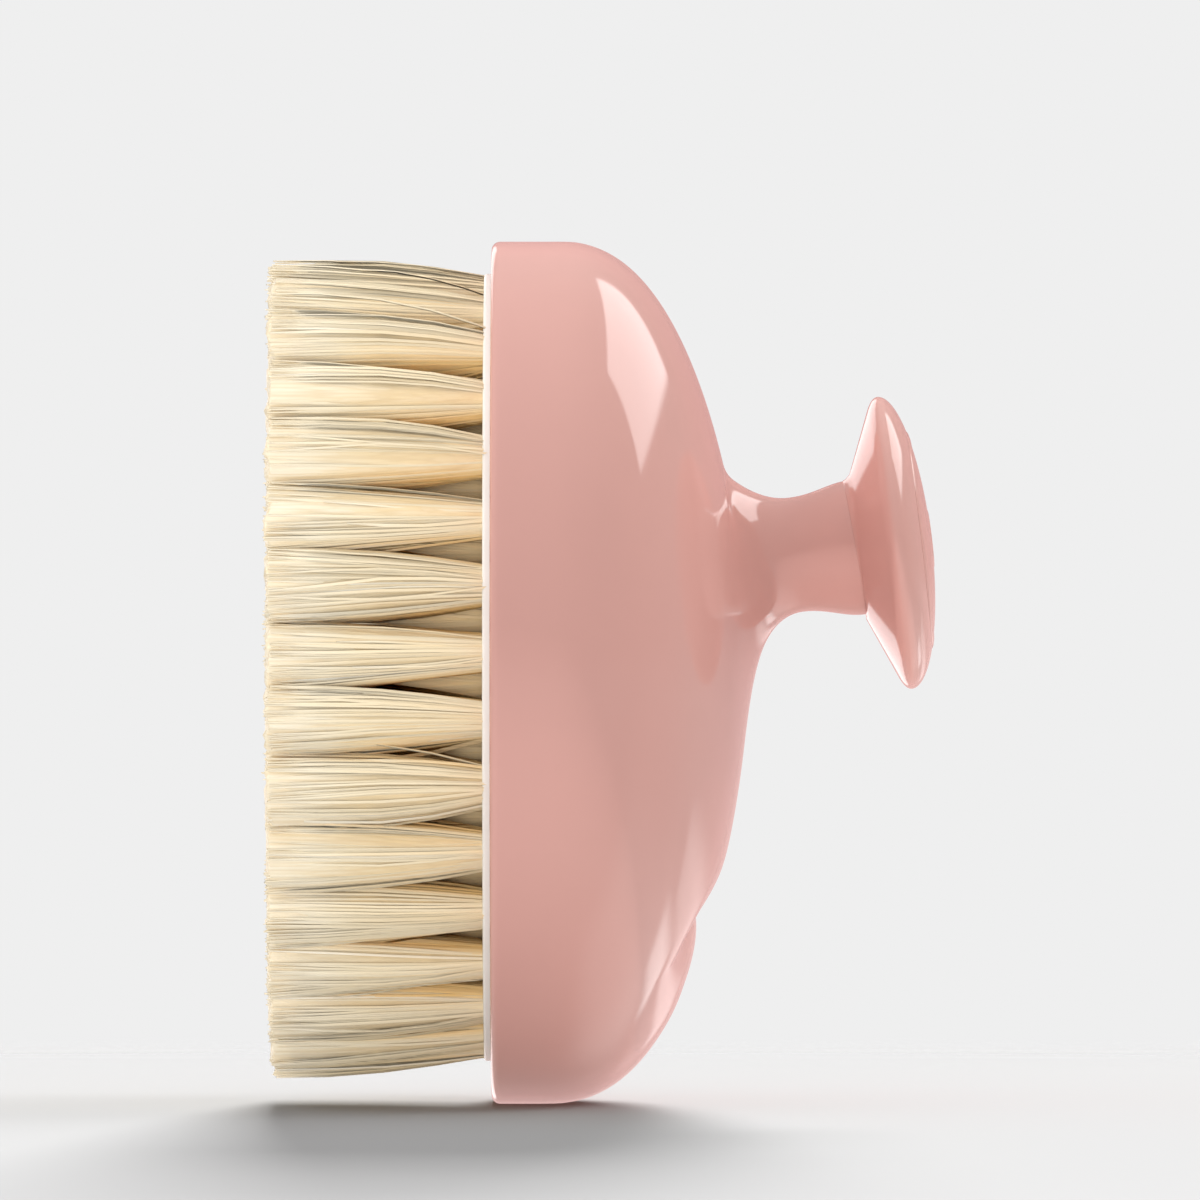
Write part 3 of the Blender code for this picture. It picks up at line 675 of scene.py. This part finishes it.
def make_plate(mat, rows):
    count = 300
    bm = bmesh.new()

    def ring(x, inset):
        y, z = outline(inset, count)
        return [bm.verts.new(Vector((x - FOOT_MID, a, b + FIELD_SHIFT)) * MM) for a, b in zip(y, z)]

    loops = [ring(PLATE_BACK, PLATE_INSET)]
    fillet = 0.4
    for k in range(6):
        t = k / 5.0 * math.pi / 2.0
        loops.append(ring(PLATE_FRONT + fillet * (1.0 - math.sin(t)), PLATE_INSET + fillet * (1.0 - math.cos(t))))
    for one, two in zip(loops[:-1], loops[1:]):
        for i in range(count):
            j = (i + 1) % count
            bm.faces.new((one[i], one[j], two[j], two[i]))
    bm.faces.new(loops[0])
    bm.faces.new(loops[-1])
    bmesh.ops.recalc_face_normals(bm, faces=bm.faces)
    mesh = bpy.data.meshes.new("bristle_base")
    bm.to_mesh(mesh)
    bm.free()
    mesh.materials.append(mat)
    obj = bpy.data.objects.new("bristle_base", mesh)
    bpy.context.scene.collection.objects.link(obj)
    # holes with a softly broken edge
    holes = bmesh.new()
    sides = 24
    ang = np.arange(sides) * 2.0 * math.pi / sides
    for ys, zs, _, _ in rows:
        for a, b in zip(ys, zs):
            runs = []
            for x, r in ((PLATE_FRONT - 0.6, TUFT_HOLE + 0.75), (PLATE_FRONT + 0.12, TUFT_HOLE + 0.03),
                         (PLATE_FRONT + 0.3, TUFT_HOLE), (PLATE_BACK + 0.6, TUFT_HOLE)):
                runs.append([holes.verts.new(Vector((x - FOOT_MID, a + r * math.cos(t), b + r * math.sin(t))) * MM) for t in ang])
            for one, two in zip(runs[:-1], runs[1:]):
                for i in range(sides):
                    j = (i + 1) % sides
                    holes.faces.new((one[i], two[i], two[j], one[j]))
            holes.faces.new(runs[0])
            holes.faces.new(runs[-1][::-1])
    bmesh.ops.recalc_face_normals(holes, faces=holes.faces)
    tool_mesh = bpy.data.meshes.new("holes")
    holes.to_mesh(tool_mesh)
    holes.free()
    tool = bpy.data.objects.new("holes", tool_mesh)
    bpy.context.scene.collection.objects.link(tool)
    cut = obj.modifiers.new("tuft holes", "BOOLEAN")
    cut.operation = "DIFFERENCE"
    cut.solver = "EXACT"
    cut.object = tool
    bpy.context.view_layer.update()
    done = bpy.data.meshes.new_from_object(obj.evaluated_get(bpy.context.evaluated_depsgraph_get()))
    obj.modifiers.clear()
    obj.data = done
    bpy.data.objects.remove(tool, do_unlink=True)
    done.shade_smooth()
    done.set_sharp_from_angle(angle=math.radians(30.0))
    return obj


FIBRE_STEPS = np.array([0.0, 0.16, 0.34, 0.55, 0.78, 1.0])
FIBRE_SIDES = 3


CORE_STEPS = np.linspace(0.0, 1.0, 13)
CORE_SIDES = 24
CORE_ROOT = 0.92        # its share of the bundle's radius at the root
CORE_TIP = 0.88         # and at the tips
CORE_SHORT = 0.8        # how far its end stays behind the fibre ends
CORE_END = ((0.94, 0.28), (0.66, 0.36), (0.34, 0.40))     # rings of its cut end: size and how far they stand out


def gap_side(way, out):
    """0 on the side of a tuft that looks outwards from the brush, 1 on its other sides."""
    return 1.0 - smoothstep((way @ out - 0.05) / 0.65)


def tuft_core(rng, centre, out, shift, spread, power, start, bulge):
    """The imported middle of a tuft, which fills it under the loose fibres: a flaring bundle
    whose skin is furrowed where its locks part."""
    t = CORE_STEPS[:, None]
    ang = (np.arange(CORE_SIDES) * 2.0 * math.pi / CORE_SIDES)[None, :]
    g = 1.0 - (1.0 - t) ** power
    size = CORE_ROOT * ROOT_SPREAD * (1.0 - g) + CORE_TIP * spread * g
    lump = np.zeros((len(CORE_STEPS), CORE_SIDES))
    for waves, deep in ((3, 0.040), (5, 0.045), (7, 0.035), (10, 0.022)):
        lump = lump + deep * np.cos(waves * ang + rng.uniform(0.0, 6.28) + rng.normal(0.0, 0.5) * t)
    size = size * (1.0 + lump * (0.35 + 0.65 * t))
    side = np.stack([np.cos(ang) + 0.0 * t, np.sin(ang) + 0.0 * t], axis=-1)
    lateral = side * size[..., None] + shift * g[..., None]
    push = bulge * np.sin(np.clip(t / 0.45, 0.0, 1.0) * math.pi / 2.0) * np.clip(side @ out, 0.0, 1.0)
    lateral = lateral + out * push[..., None]
    x = start + (TIP_PLANE + CORE_SHORT - start) * t + 0.0 * ang
    x[-1] += 3.0 * lump[-1] + rng.normal(0.0, 0.12, CORE_SIDES)
    co = np.stack([x, centre[0] + lateral[..., 0], centre[1] + lateral[..., 1]], axis=-1)
    # tone follows the lumps, ridges lighter and furrows darker: painted shade in the furrows. deep paints shade on the
    # sides that face the gaps, strongest at the roots and gone at the tips
    tone = np.clip(0.46 + rng.normal(0.0, 0.03) + 1.4 * lump, 0.05, 0.86)
    deep = (0.30 + 0.70 * gap_side(side, out)) * (1.0 - smoothstep((t - 0.40) / 0.58))
    along = t + 0.0 * ang
    last = co[-1]
    middle = last.mean(axis=0)
    for size, proud in CORE_END:
        ring = middle + size * (last - middle)
        ring[:, 0] = ring[:, 0] - proud + rng.normal(0.0, 0.16, CORE_SIDES)
        co = np.concatenate([co, ring[None]])
        tone = np.concatenate([tone, np.clip(0.52 + rng.normal(0.0, 0.16, (1, CORE_SIDES)), 0.05, 0.9)])
        along, deep = (np.concatenate([v, v[-1:]]) for v in (along, deep))
    return co, tone, along, deep


def core_faces(count):
    """Faces of count closed bundles, each with its rings and those of its cut end."""
    rings = len(CORE_STEPS) + len(CORE_END)
    quads = grid_faces(rings, CORE_SIDES, False)
    fan = np.array([[0, i + 1, i] for i in range(1, CORE_SIDES - 1)])
    ends = np.concatenate([fan, fan[:, ::-1] + (rings - 1) * CORE_SIDES])
    base = (np.arange(count) * rings * CORE_SIDES)[:, None, None]
    return (base + quads[None]).reshape(-1, 4), (base + ends[None]).reshape(-1, 3)


def tuft_paths(rng, yc, zc, out, lean, count):
    """Centre lines, radii and tone of the fibres of one tuft. A tuft is folded into its
    hole, splays out of it, and its fibres gather in locks on the way to the tips."""
    n = count
    ang = rng.uniform(0.0, 2.0 * math.pi, n)
    # most of the loose fibres lie on the skin of the bundle, the rest end in its face
    rad = np.where(rng.uniform(0.0, 1.0, n) < 0.74, rng.uniform(0.86, 1.0, n), np.sqrt(rng.uniform(0.0, 1.0, n)))
    disc = np.stack([rad * np.cos(ang), rad * np.sin(ang)], axis=-1)
    root = disc * ROOT_SPREAD
    locks = int(rng.integers(9, 14))
    la = np.arange(locks) * 2.399963 + rng.uniform(0.0, 6.28)
    lr = np.sqrt((np.arange(locks) + 0.5) / locks)
    lock = np.stack([lr * np.cos(la), lr * np.sin(la)], axis=-1) + rng.normal(0.0, 0.07, (locks, 2))
    pick = np.argmin(((disc[:, None, :] + rng.normal(0.0, 0.10, (n, 1, 2)) - lock[None]) ** 2).sum(-1), axis=1)
    spread = TIP_SPREAD * rng.uniform(0.93, 1.05)
    own = disc * spread + rng.normal(0.0, 0.28, (n, 2))
    # the fibres of a lock draw together, but stay as far out as they are
    gather = rng.uniform(0.10, 0.65, locks)[pick][:, None]
    heart = lock[pick] / (np.linalg.norm(lock[pick], axis=1, keepdims=True) + 1e-6) * rad[:, None]
    tip = own * (1.0 - gather) + gather * (heart * spread + rng.normal(0.0, 0.30, (n, 2)))
    tilt = rng.normal(0.0, 0.35, 2) * (1.0 - 0.6 * abs(out[1]))
    upright = 1.0 - 1.5 * abs(out[1]) ** 3      # the tufts at the two ends lean less
    tip = tip + lean * upright * out + tilt
    # a few fibres stray towards a neighbour
    stray = rng.uniform(0.0, 1.0, n) < 0.035
    tip = tip + stray[:, None] * rng.normal(0.0, 1.5, (n, 2))
    power = rng.uniform(1.5, 2.1)
    t = FIBRE_STEPS[None, :]
    g = 1.0 - (1.0 - t) ** (power * rng.uniform(0.9, 1.1, (n, 1)))
    lock_bow = rng.normal(0.0, 0.32, (locks, 2))[pick]
    bow = lock_bow + rng.normal(0.0, 0.16, (n, 2)) + stray[:, None] * rng.normal(0.0, 0.8, (n, 2))
    bow = bow * np.minimum(1.0, 1.2 / (np.linalg.norm(bow, axis=1, keepdims=True) + 1e-6))
    wave = (np.abs(np.sin(t * math.pi)) ** 1.6)[..., None] * bow[:, None, :]
    ripple = np.sin(t * 2.0 * math.pi + rng.uniform(0, 6.28, (n, 1)))[..., None] * rng.normal(0.0, 0.07, (n, 1, 2))
    lateral = root[:, None, :] * (1.0 - g[..., None]) + tip[:, None, :] * g[..., None] + wave + ripple * t[..., None]
    # outer tufts bulge outwards straight out of their holes
    side = np.clip(disc @ out, 0.0, 1.0)[:, None, None]
    lateral = lateral + side * out * (0.55 * upright * np.sin(np.clip(t / 0.45, 0.0, 1.0) * math.pi / 2.0) * (lean > 0.7))[..., None]
    # trimmed to one plane, but the skin of each tuft ends a little sooner
    end = TIP_PLANE + 0.25 + rng.normal(0.0, 0.22) + rng.normal(0.0, 0.22, locks)[pick] + rng.normal(0.0, 0.15, n)
    end = end + 0.4 * rad ** 3
    short = rng.uniform(0.0, 1.0, n) < 0.05
    end = np.where(short, end + rng.uniform(2.0, 11.0, n), end)
    end = np.maximum(end, TIP_PLANE - 0.6)
    start = 0.5 * (THREAD_BAND[0] + THREAD_BAND[1])
    # slanted so that leaning fibres don't come out longer
    x = start + (end[:, None] - start) * t
    co = np.stack([x, yc + lateral[..., 0], zc + lateral[..., 1]], axis=-1)
    thick = np.clip(rng.lognormal(math.log(0.19), 0.22, n), 0.12, 0.30)
    radius = thick[:, None] * (1.0 - 0.12 * t - 0.35 * np.clip((t - 0.8) / 0.2, 0.0, 1.0))
    tone = np.clip(rng.normal(0.56, 0.045, n) + rng.normal(0.0, 0.045, locks)[pick], 0.05, 0.86)
    tone = np.where(rng.uniform(0.0, 1.0, n) < 0.03, 0.97, tone)
    way = disc / (rad[:, None] + 1e-6)
    # deep is painted shade: fibres inside the bundle and on its sides that face the gaps are coloured amber, fading
    # out towards the tips
    deep = np.maximum(0.85 - rad ** 1.5, gap_side(way, out) + rng.normal(0.0, 0.10, n))
    deep = np.clip(deep, 0.0, 1.0)[:, None] * (1.0 - smoothstep((t - 0.35) / 0.60))
    # the way each fibre looks out of its tuft
    rel = lateral - lateral.mean(axis=0)
    far = np.linalg.norm(rel, axis=-1, keepdims=True)
    rel = rel / (far + 1e-6) * smoothstep(far / (0.5 * far.max(axis=0)))
    face = np.concatenate([np.full(rel.shape[:2] + (1,), -0.10), rel], axis=-1)
    core = tuft_core(rng, (yc, zc), out, lean * upright * out + tilt, spread, power, start,
                     0.55 * upright * (lean > 0.7))
    return co, radius, np.repeat(tone[:, None], len(FIBRE_STEPS), axis=1), np.repeat(t, n, axis=0), deep, face, core


def fibre_mesh(co, radius, face, rng):
    """Closed tapered prisms along the centre lines. co is fibres x steps x 3. The shading
    normals lean towards face, so that a tuft is shaded as one rounded bundle."""
    n, k, _ = co.shape
    sides = FIBRE_SIDES
    spin = rng.uniform(0.0, 2.0 * math.pi, n)[:, None] + np.arange(sides)[None, :] * 2.0 * math.pi / sides
    ring = np.stack([np.zeros_like(spin), np.cos(spin), np.sin(spin)], axis=-1)
    verts = co[:, :, None, :] + radius[:, :, None, None] * ring[:, None, :, :]
    lean = 0.8 * (1.0 - smoothstep((FIBRE_STEPS - 0.7) / 0.3))[None, :, None, None]
    normals = lean * face[:, :, None, :] + 0.24 * ring[:, None, :, :]
    normals /= np.linalg.norm(normals, axis=-1, keepdims=True) + 1e-9
    # cut tips stand a little aslant
    verts[:, -1, :, 0] += rng.uniform(-0.12, 0.12, (n, sides))
    base = (np.arange(n) * k * sides)[:, None, None]
    i = np.arange(k - 1)[None, :, None] * sides
    j = np.arange(sides)[None, None, :]
    j1 = (j + 1) % sides
    a, b, c, d = base + i + j, base + i + j1, base + i + sides + j1, base + i + sides + j
    quads = np.stack([a, b, c, d], axis=-1).reshape(-1, 4)
    first = (np.arange(n) * k * sides)[:, None]
    last = first + (k - 1) * sides
    tris = np.concatenate([first + np.array([[2, 1, 0]]), last + np.array([[0, 1, 2]])])
    return verts.reshape(-1, 3), quads, tris, normals.reshape(-1, 3)


def thread_band(ys, zs, half_length, half_width):
    """The folded roots and their thread behind the plate, a flattened rope along the row."""
    x0, x1 = THREAD_BAND
    sides = 10
    ang = np.arange(sides) * 2.0 * math.pi / sides
    if len(ys) > 2:
        n = 10 * len(ys)
        y, z, o = row_points(half_length, half_width, n)
        swell = 1.0 + 0.16 * np.cos(np.arange(n) * 2.0 * math.pi * len(ys) / n)
        rings = []
        for t in ang:
            w = THREAD_HALF * swell * math.cos(t)
            x = (x0 + x1) / 2.0 + (x1 - x0) / 2.0 * math.sin(t)
            rings.append(np.stack([np.full(n, x), y + w * o[:, 0], z + w * o[:, 1]], axis=-1))
        rings = np.stack(rings)
        return rings.reshape(-1, 3), grid_faces(sides, n, True), np.zeros((0, 3), int)
    z = LENGTH / 2.0 + FIELD_SHIFT + np.linspace(-CENTRE_PAIR - 0.9, CENTRE_PAIR + 0.9, 14)
    size = np.sqrt(np.clip(1.0 - np.linspace(-1.0, 1.0, 14) ** 8, 0.02, 1.0))
    rings = [np.stack([(x0 + x1) / 2.0 + (x1 - x0) / 2.0 * np.sin(ang) * q, THREAD_HALF * np.cos(ang) * q, np.full(sides, h)], axis=-1)
             for h, q in zip(z, size)]
    rings = np.stack(rings)
    n = len(rings)
    quads = grid_faces(n, sides, False)
    fan = np.array([[0, i + 1, i] for i in range(1, sides - 1)])
    return rings.reshape(-1, 3), quads, np.concatenate([fan, fan[:, ::-1] + (n - 1) * sides])


def make_row(k, row, mat, rng):
    ys, zs, out, lean = row
    parts = [tuft_paths(rng, a, b, o, lean, FIBRES[k]) for a, b, o in zip(ys, zs, out)]
    co = np.concatenate([p[0] for p in parts])
    radius = np.concatenate([p[1] for p in parts])
    tone = np.concatenate([p[2] for p in parts])
    along = np.concatenate([p[3] for p in parts])
    deep = np.concatenate([p[4] for p in parts])
    face = np.concatenate([p[5] for p in parts])
    verts, quads, tris, normals = fibre_mesh(co, radius, face, rng)
    spread = lambda v: np.repeat(v.reshape(-1), FIBRE_SIDES)
    values = {"tone": spread(tone), "along": spread(along), "deep": spread(deep)}
    inner = 0.35 if k > 0 else 0.0      # the outermost row takes the darker root colour in full: painted shade at its roots under its flaring neighbours
    bv, bq, bt = thread_band(ys, zs, ROW_LENGTH - k * ROW_STEP, ROW_WIDTH - k * ROW_STEP)
    core = [np.concatenate([p[6][i].reshape(-1, 3) if i == 0 else p[6][i].reshape(-1) for p in parts]) for i in range(4)]
    cq, ct = core_faces(len(parts))
    base = len(verts)
    verts = np.concatenate([verts, bv, core[0]])
    quads = np.concatenate([quads, bq + base, cq + base + len(bv)])
    tris = np.concatenate([tris, bt + base, ct + base + len(bv)])
    # the thread behind the plate takes the root colour and full painted gap shade
    for i, (key, fill) in enumerate((("tone", 0.3), ("along", 0.0), ("deep", 1.0))):
        values[key] = np.concatenate([values[key], np.full(len(bv), fill), core[i + 1]])
    values["packed"] = np.concatenate([np.zeros(base + len(bv)), np.ones(len(core[0]))])
    if k > 0:                           # but the inner rows only show through the gaps, so they carry painted gap shade towards their roots
        gap = 1.0 - smoothstep((values["along"] - 0.35) / 0.50)
        values["deep"] = np.maximum(values["deep"], 0.55 * gap)
    values["along"] = inner + (1.0 - inner) * values["along"]
    obj = outward(add_mesh(f"bristles_{k + 1}", to_world(verts), quads, tris, mat, values=values))
    # a zero normal leaves the thread and the bundles as they are
    normals = np.concatenate([normals, np.zeros((len(verts) - len(normals), 3))])
    obj.data.normals_split_custom_set_from_vertices(normals.astype(np.float32))
    return obj


# ---- build -----------------------------------------------------------------------------------------
PINK = (0.645, 0.343, 0.298)
pink = gloss_plastic("pink_gloss", PINK, 0.08)
white = satin_white("white_satin")
steel = zinc_steel("zinc_steel")
fibre = plant_fibre("plant_fibre")

rows = tuft_rows()

shell = make_shell(pink)
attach(shell, "root")
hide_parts("handle_shell")

knob = make_knob(pink)
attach(knob, "root")
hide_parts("knob")

cap = make_cap(pink)
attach(cap, "root")
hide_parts("knob_cap")

plate = make_plate(white, rows)
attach(plate, "root")
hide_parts("bristle_plate")

tufts = []
for k, row in enumerate(rows):
    piece = make_row(k, row, fibre, np.random.default_rng(4100 + k))
    tufts.append(piece)
    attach(piece, "root")
    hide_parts(f"tuft_row_{k + 1}")

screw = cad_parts["knob_screw"]
screw.data.materials.clear()
screw.data.materials.append(steel)

# ---- floor ------------------------------------------------------------------------------------------
FLOOR_RADIUS = 0.62
FLOOR_FORWARD = 0.30   # most of the sheet lies on the camera's side


def make_floor():
    rings = [0.0] + list(np.linspace(0.05, FLOOR_RADIUS, 18))
    sides = 96
    ang = np.arange(sides) * 2.0 * math.pi / sides
    co = [(0.0, 0.0, 0.0)]
    for r in rings[1:]:
        co += [(r * math.cos(t), r * math.sin(t), 0.0) for t in ang]
    tris = [(0, 1 + j, 1 + (j + 1) % sides) for j in range(sides)]
    quads = []
    for i in range(len(rings) - 2):
        a, b = 1 + i * sides, 1 + (i + 1) * sides
        quads += [(a + j, b + j, b + (j + 1) % sides, a + (j + 1) % sides) for j in range(sides)]
    mat, n, bsdf, place = new_material("studio_floor")
    bsdf.inputs["Base Color"].default_value = (FLOOR_WHITE, FLOOR_WHITE, FLOOR_WHITE, 1.0)
    bsdf.inputs["Roughness"].default_value = 1.0
    bsdf.inputs["Specular IOR Level"].default_value = 0.0
    # the sheet fades into the backdrop
    dist = n.add("ShaderNodeVectorMath", operation="LENGTH")
    n.link(place, dist.inputs[0])
    keep = n.remap(dist.outputs["Value"], FLOOR_RADIUS * 0.70, FLOOR_RADIUS * 0.97, 1.0, 0.0, True)
    clear = n.add("ShaderNodeBsdfTransparent")
    blend = n.add("ShaderNodeMixShader")
    out = mat.node_tree.nodes["Material Output"]
    n.link(keep, blend.inputs[0])
    n.link(clear.outputs[0], blend.inputs[1])
    n.link(bsdf.outputs[0], blend.inputs[2])
    n.link(blend.outputs[0], out.inputs["Surface"])
    obj = add_mesh("studio_floor", co, quads, tris, mat)
    obj.location = (0.0, -FLOOR_FORWARD, 0.0)
    obj.visible_shadow = False     # a lamp under the sheet shines through it
    obj.visible_glossy = False     # the gloss shows the surroundings below the horizon instead
    return obj


FLOOR_WHITE = 0.333
sheet = make_floor()

# ---- light ------------------------------------------------------------------------------------------
BACKDROP = 0.863       # the pale backdrop as the camera sees it
LIGHTS = {
    "sky": 0.36,       # even light from above the horizon
    "zenith": 0.74,    # more of it from overhead
    "left": 0.0,       # from the left
    "front": 0.0,      # and from the camera's side
    "below": 0.55,     # light thrown back from beyond the sheet
    "main": 4.68,      # softbox up on the right, a little behind
    "rear": 1.3,       # large panel behind on the left, low
    "low": 0.15,       # bright ground low behind the object
    "lip": 1.9,        # a card low on the right
    "strip": 0.6,      # and its far edge, on the right
    "right": 0.65,     # bright floor far out on the right
    "warm": 0.28,      # the rosy air behind the object
    "over": 0.0,       # diffused lamps that leave no reflection
    "key": 0.20,
    "fill": 0.10,
    "side": 0.45,
    "back": 0.5,
    "cheek": 0.08,
    "under": 0.50,
    "tufts": 0.47,     # a soft lamp for the tufts alone
    "tufts_far": 0.15, # one for their far side
    "tufts_top": 0.29, # and wide ones for their cut ends, upper and lower sides
    "tufts_low": 0.42,
    "plate": 0.25,     # and one for the plate's edge
    "ground": 1.55,    # brightness the strip light gives the sheet
}


def unit(v):
    v = np.array(v, float)
    return v / np.linalg.norm(v)


def build_world():
    scene = bpy.context.scene
    world = bpy.data.worlds.new("studio")
    scene.world = world
    world.use_nodes = True
    tree = world.node_tree
    tree.nodes.clear()
    n = Nodes(tree)
    way = n.add("ShaderNodeTexCoord").outputs["Generated"]

    def dot(v):
        node = n.add("ShaderNodeVectorMath", operation="DOT_PRODUCT")
        n.link(way, node.inputs[0])
        node.inputs[1].default_value = tuple(v)
        return node.outputs["Value"]

    def panel(centre, half_u, half_v, roll, strength, soft, low=1.0, far=1.0):
        """A rectangle of light of the given direction and size. low and far are the shares
        of the strength left at its lower edge and at its far (left) edge."""
        c = unit(centre)
        u = unit(np.cross((0.0, 0.0, 1.0), c))
        v = np.cross(c, u)
        ca, sa = math.cos(math.radians(roll)), math.sin(math.radians(roll))
        u, v = ca * u + sa * v, ca * v - sa * u
        dn = dot(c)
        pu = n.math("DIVIDE", dot(u), dn)
        pv = n.math("DIVIDE", dot(v), dn)
        mu = n.remap(n.math("ABSOLUTE", pu), half_u - soft, half_u + soft, 1.0, 0.0, True)
        mv = n.remap(n.math("ABSOLUTE", pv), half_v - soft, half_v + soft, 1.0, 0.0, True)
        mask = n.math("MULTIPLY", n.math("MULTIPLY", mu, mv), n.math("GREATER_THAN", dn, 0.05))
        across = n.remap(pu, -half_u, half_u, 1.0, far)
        level = n.math("MULTIPLY", across, n.remap(pv, -half_v, half_v, strength * low, strength))
        return n.math("MULTIPLY", mask, level)

    up = dot((0.0, 0.0, 1.0))
    above = n.remap(up, -0.02, 0.02, 0.0, 1.0)
    left = n.math("MAXIMUM", dot((-1.0, 0.0, 0.0)), 0.0)
    front = n.math("MAXIMUM", dot((0.0, -1.0, 0.0)), 0.0)
    sky = n.math("MULTIPLY_ADD", left, LIGHTS["left"], LIGHTS["sky"])
    sky = n.math("MULTIPLY_ADD", front, LIGHTS["front"], sky)
    sky = n.math("MULTIPLY_ADD", n.math("MULTIPLY", up, up), LIGHTS["zenith"], sky)
    terms = [
        n.math("MULTIPLY", above, sky),
        n.math("MULTIPLY", n.remap(up, -0.02, 0.02, LIGHTS["below"], 0.0), n.remap(up, -0.97, -0.60, 0.2, 1.0)),
        panel((0.668, 0.438, 0.601), 0.42, 0.29, -9.0, LIGHTS["main"], 0.02, 0.85, 0.62),
        panel((-0.42, 0.90, 0.03), 0.30, 0.42, 0.0, LIGHTS["rear"], 0.03),
        panel((0.47, 0.83, -0.30), 0.25, 0.11, 0.0, LIGHTS["low"], 0.06),
        panel((0.50, 0.86, -0.19), 0.27, 0.06, 0.0, LIGHTS["strip"], 0.03),
        panel((0.64, 0.68, -0.36), 0.14, 0.08, 0.0, LIGHTS["lip"], 0.05),
        panel((0.683, 0.183, -0.707), 0.55, 0.50, 0.0, LIGHTS["right"], 0.25),
    ]
    level = terms[0]
    for term in terms[1:]:
        level = n.math("ADD", level, term)

    camera = n.add("ShaderNodeLightPath").outputs["Is Camera Ray"]
    seen = n.math("ADD", n.math("MULTIPLY", camera, BACKDROP),
                  n.math("MULTIPLY", n.math("SUBTRACT", 1.0, camera), level))
    back = n.add("ShaderNodeBackground")
    n.link(seen, back.inputs["Strength"])
    back.inputs["Color"].default_value = (1.0, 1.0, 1.0, 1.0)
    # warm air straight behind, which keeps the grazing reflections from going grey
    warm = n.add("ShaderNodeBackground")
    behind = n.remap(dot((0.0, 1.0, 0.0)), 0.60, 0.97, 0.0, LIGHTS["warm"], True)
    n.link(n.math("MULTIPLY", n.math("SUBTRACT", 1.0, camera), behind), warm.inputs["Strength"])
    warm.inputs["Color"].default_value = (1.0, 0.08, 0.02, 1.0)
    both = n.add("ShaderNodeAddShader")
    n.link(back.outputs[0], both.inputs[0])
    n.link(warm.outputs[0], both.inputs[1])
    out = n.add("ShaderNodeOutputWorld")
    n.link(both.outputs[0], out.inputs["Surface"])


def lamp(name, towards, spread, strength, only=(), shadows=(), tint=(1.0, 1.0, 1.0)):
    """A far diffused lamp. strength is the brightness it gives a white card that faces it.
    only names the objects that it lights and shadows those that stop its light, all of
    them if there are none."""
    if strength <= 0.0:
        return
    data = bpy.data.lights.new(name, "SUN")
    data.energy = strength * math.pi
    data.angle = math.radians(spread)
    data.color = tint
    obj = bpy.data.objects.new(name, data)
    obj.rotation_euler = Vector(towards).to_track_quat("Z", "Y").to_euler()
    obj.visible_glossy = False
    bpy.context.scene.collection.objects.link(obj)
    if only:
        lit = bpy.data.collections.new("lit_by_" + name)
        for one in only:
            lit.objects.link(one)
        obj.light_linking.receiver_collection = lit
    if shadows:
        stop = bpy.data.collections.new("stops_" + name)
        for one in shadows:
            stop.objects.link(one)
        obj.light_linking.blocker_collection = stop


STRAW_LIGHT = (1.0, 0.90, 0.72)   # light that has passed between the fibres

build_world()
body = [shell, knob, cap, plate, screw]
brush = body + tufts
lamp("over", (0.0, 0.05, 1.0), 80.0, LIGHTS["over"], brush)
lamp("key", (-0.62, -0.55, 0.56), 60.0, LIGHTS["key"], body)
lamp("fill", (-0.15, -1.0, 0.06), 50.0, LIGHTS["fill"], body)
lamp("side", (-0.87, 0.10, 0.48), 60.0, LIGHTS["side"], body)
lamp("back", (0.10, 0.93, 0.34), 40.0, LIGHTS["back"], body)
lamp("cheek", (0.75, -0.62, 0.20), 50.0, LIGHTS["cheek"], body)
lamp("under", (-0.12, -0.62, -0.78), 70.0, LIGHTS["under"], body)
lamp("tufts", (-0.10, -1.0, -0.08), 26.0, LIGHTS["tufts"], tufts)
lamp("tufts_far", (-0.30, 1.0, 0.20), 80.0, LIGHTS["tufts_far"], tufts)
lamp("tufts_top", (-0.65, -0.35, 1.0), 100.0, LIGHTS["tufts_top"], tufts, tint=STRAW_LIGHT)
lamp("tufts_low", (-0.45, -0.40, -1.0), 100.0, LIGHTS["tufts_low"], tufts, tint=STRAW_LIGHT)
lamp("plate", (-0.10, -1.0, -0.08), 40.0, LIGHTS["plate"], [plate])
# a tall strip light behind the brush, for its soft shadow on the sheet
for i, rise in enumerate((11.0, 16.0, 22.0, 30.0)):
    e = math.radians(rise)
    lamp(f"ground_{i + 1}", (0.04 * math.cos(e), math.cos(e), math.sin(e)), 11.0,
         LIGHTS["ground"] / 4.0 / math.sin(e), [sheet], [shell, plate] + tufts)

# ---- camera -----------------------------------------------------------------------------------------
CAMERA_DISTANCE = 2.0
FIELD = 0.16046        # width of the picture at the object, metres
cam_data = bpy.data.cameras.new("camera")
cam_data.sensor_width = 36.0
cam_data.sensor_fit = "HORIZONTAL"
cam_data.lens = 36.0 * CAMERA_DISTANCE / FIELD
cam_data.clip_start = 0.05
cam_data.clip_end = 50.0
camera = bpy.data.objects.new("camera", cam_data)
bpy.context.scene.collection.objects.link(camera)
camera.location = (0.00914, -CAMERA_DISTANCE, 0.0672)
camera.rotation_euler = (math.pi / 2.0, 0.0, 0.0)
bpy.context.scene.camera = camera

# light passes from fibre to fibre many times before it leaves the tufts
cycles = bpy.context.scene.cycles
cycles.max_bounces = 28
cycles.diffuse_bounces = 24
cycles.glossy_bounces = 6

view = bpy.context.scene.view_settings
view.view_transform = "Standard"
view.look = "None"
view.exposure = 0.0
view.gamma = 1.0

bpy.context.view_layer.update()
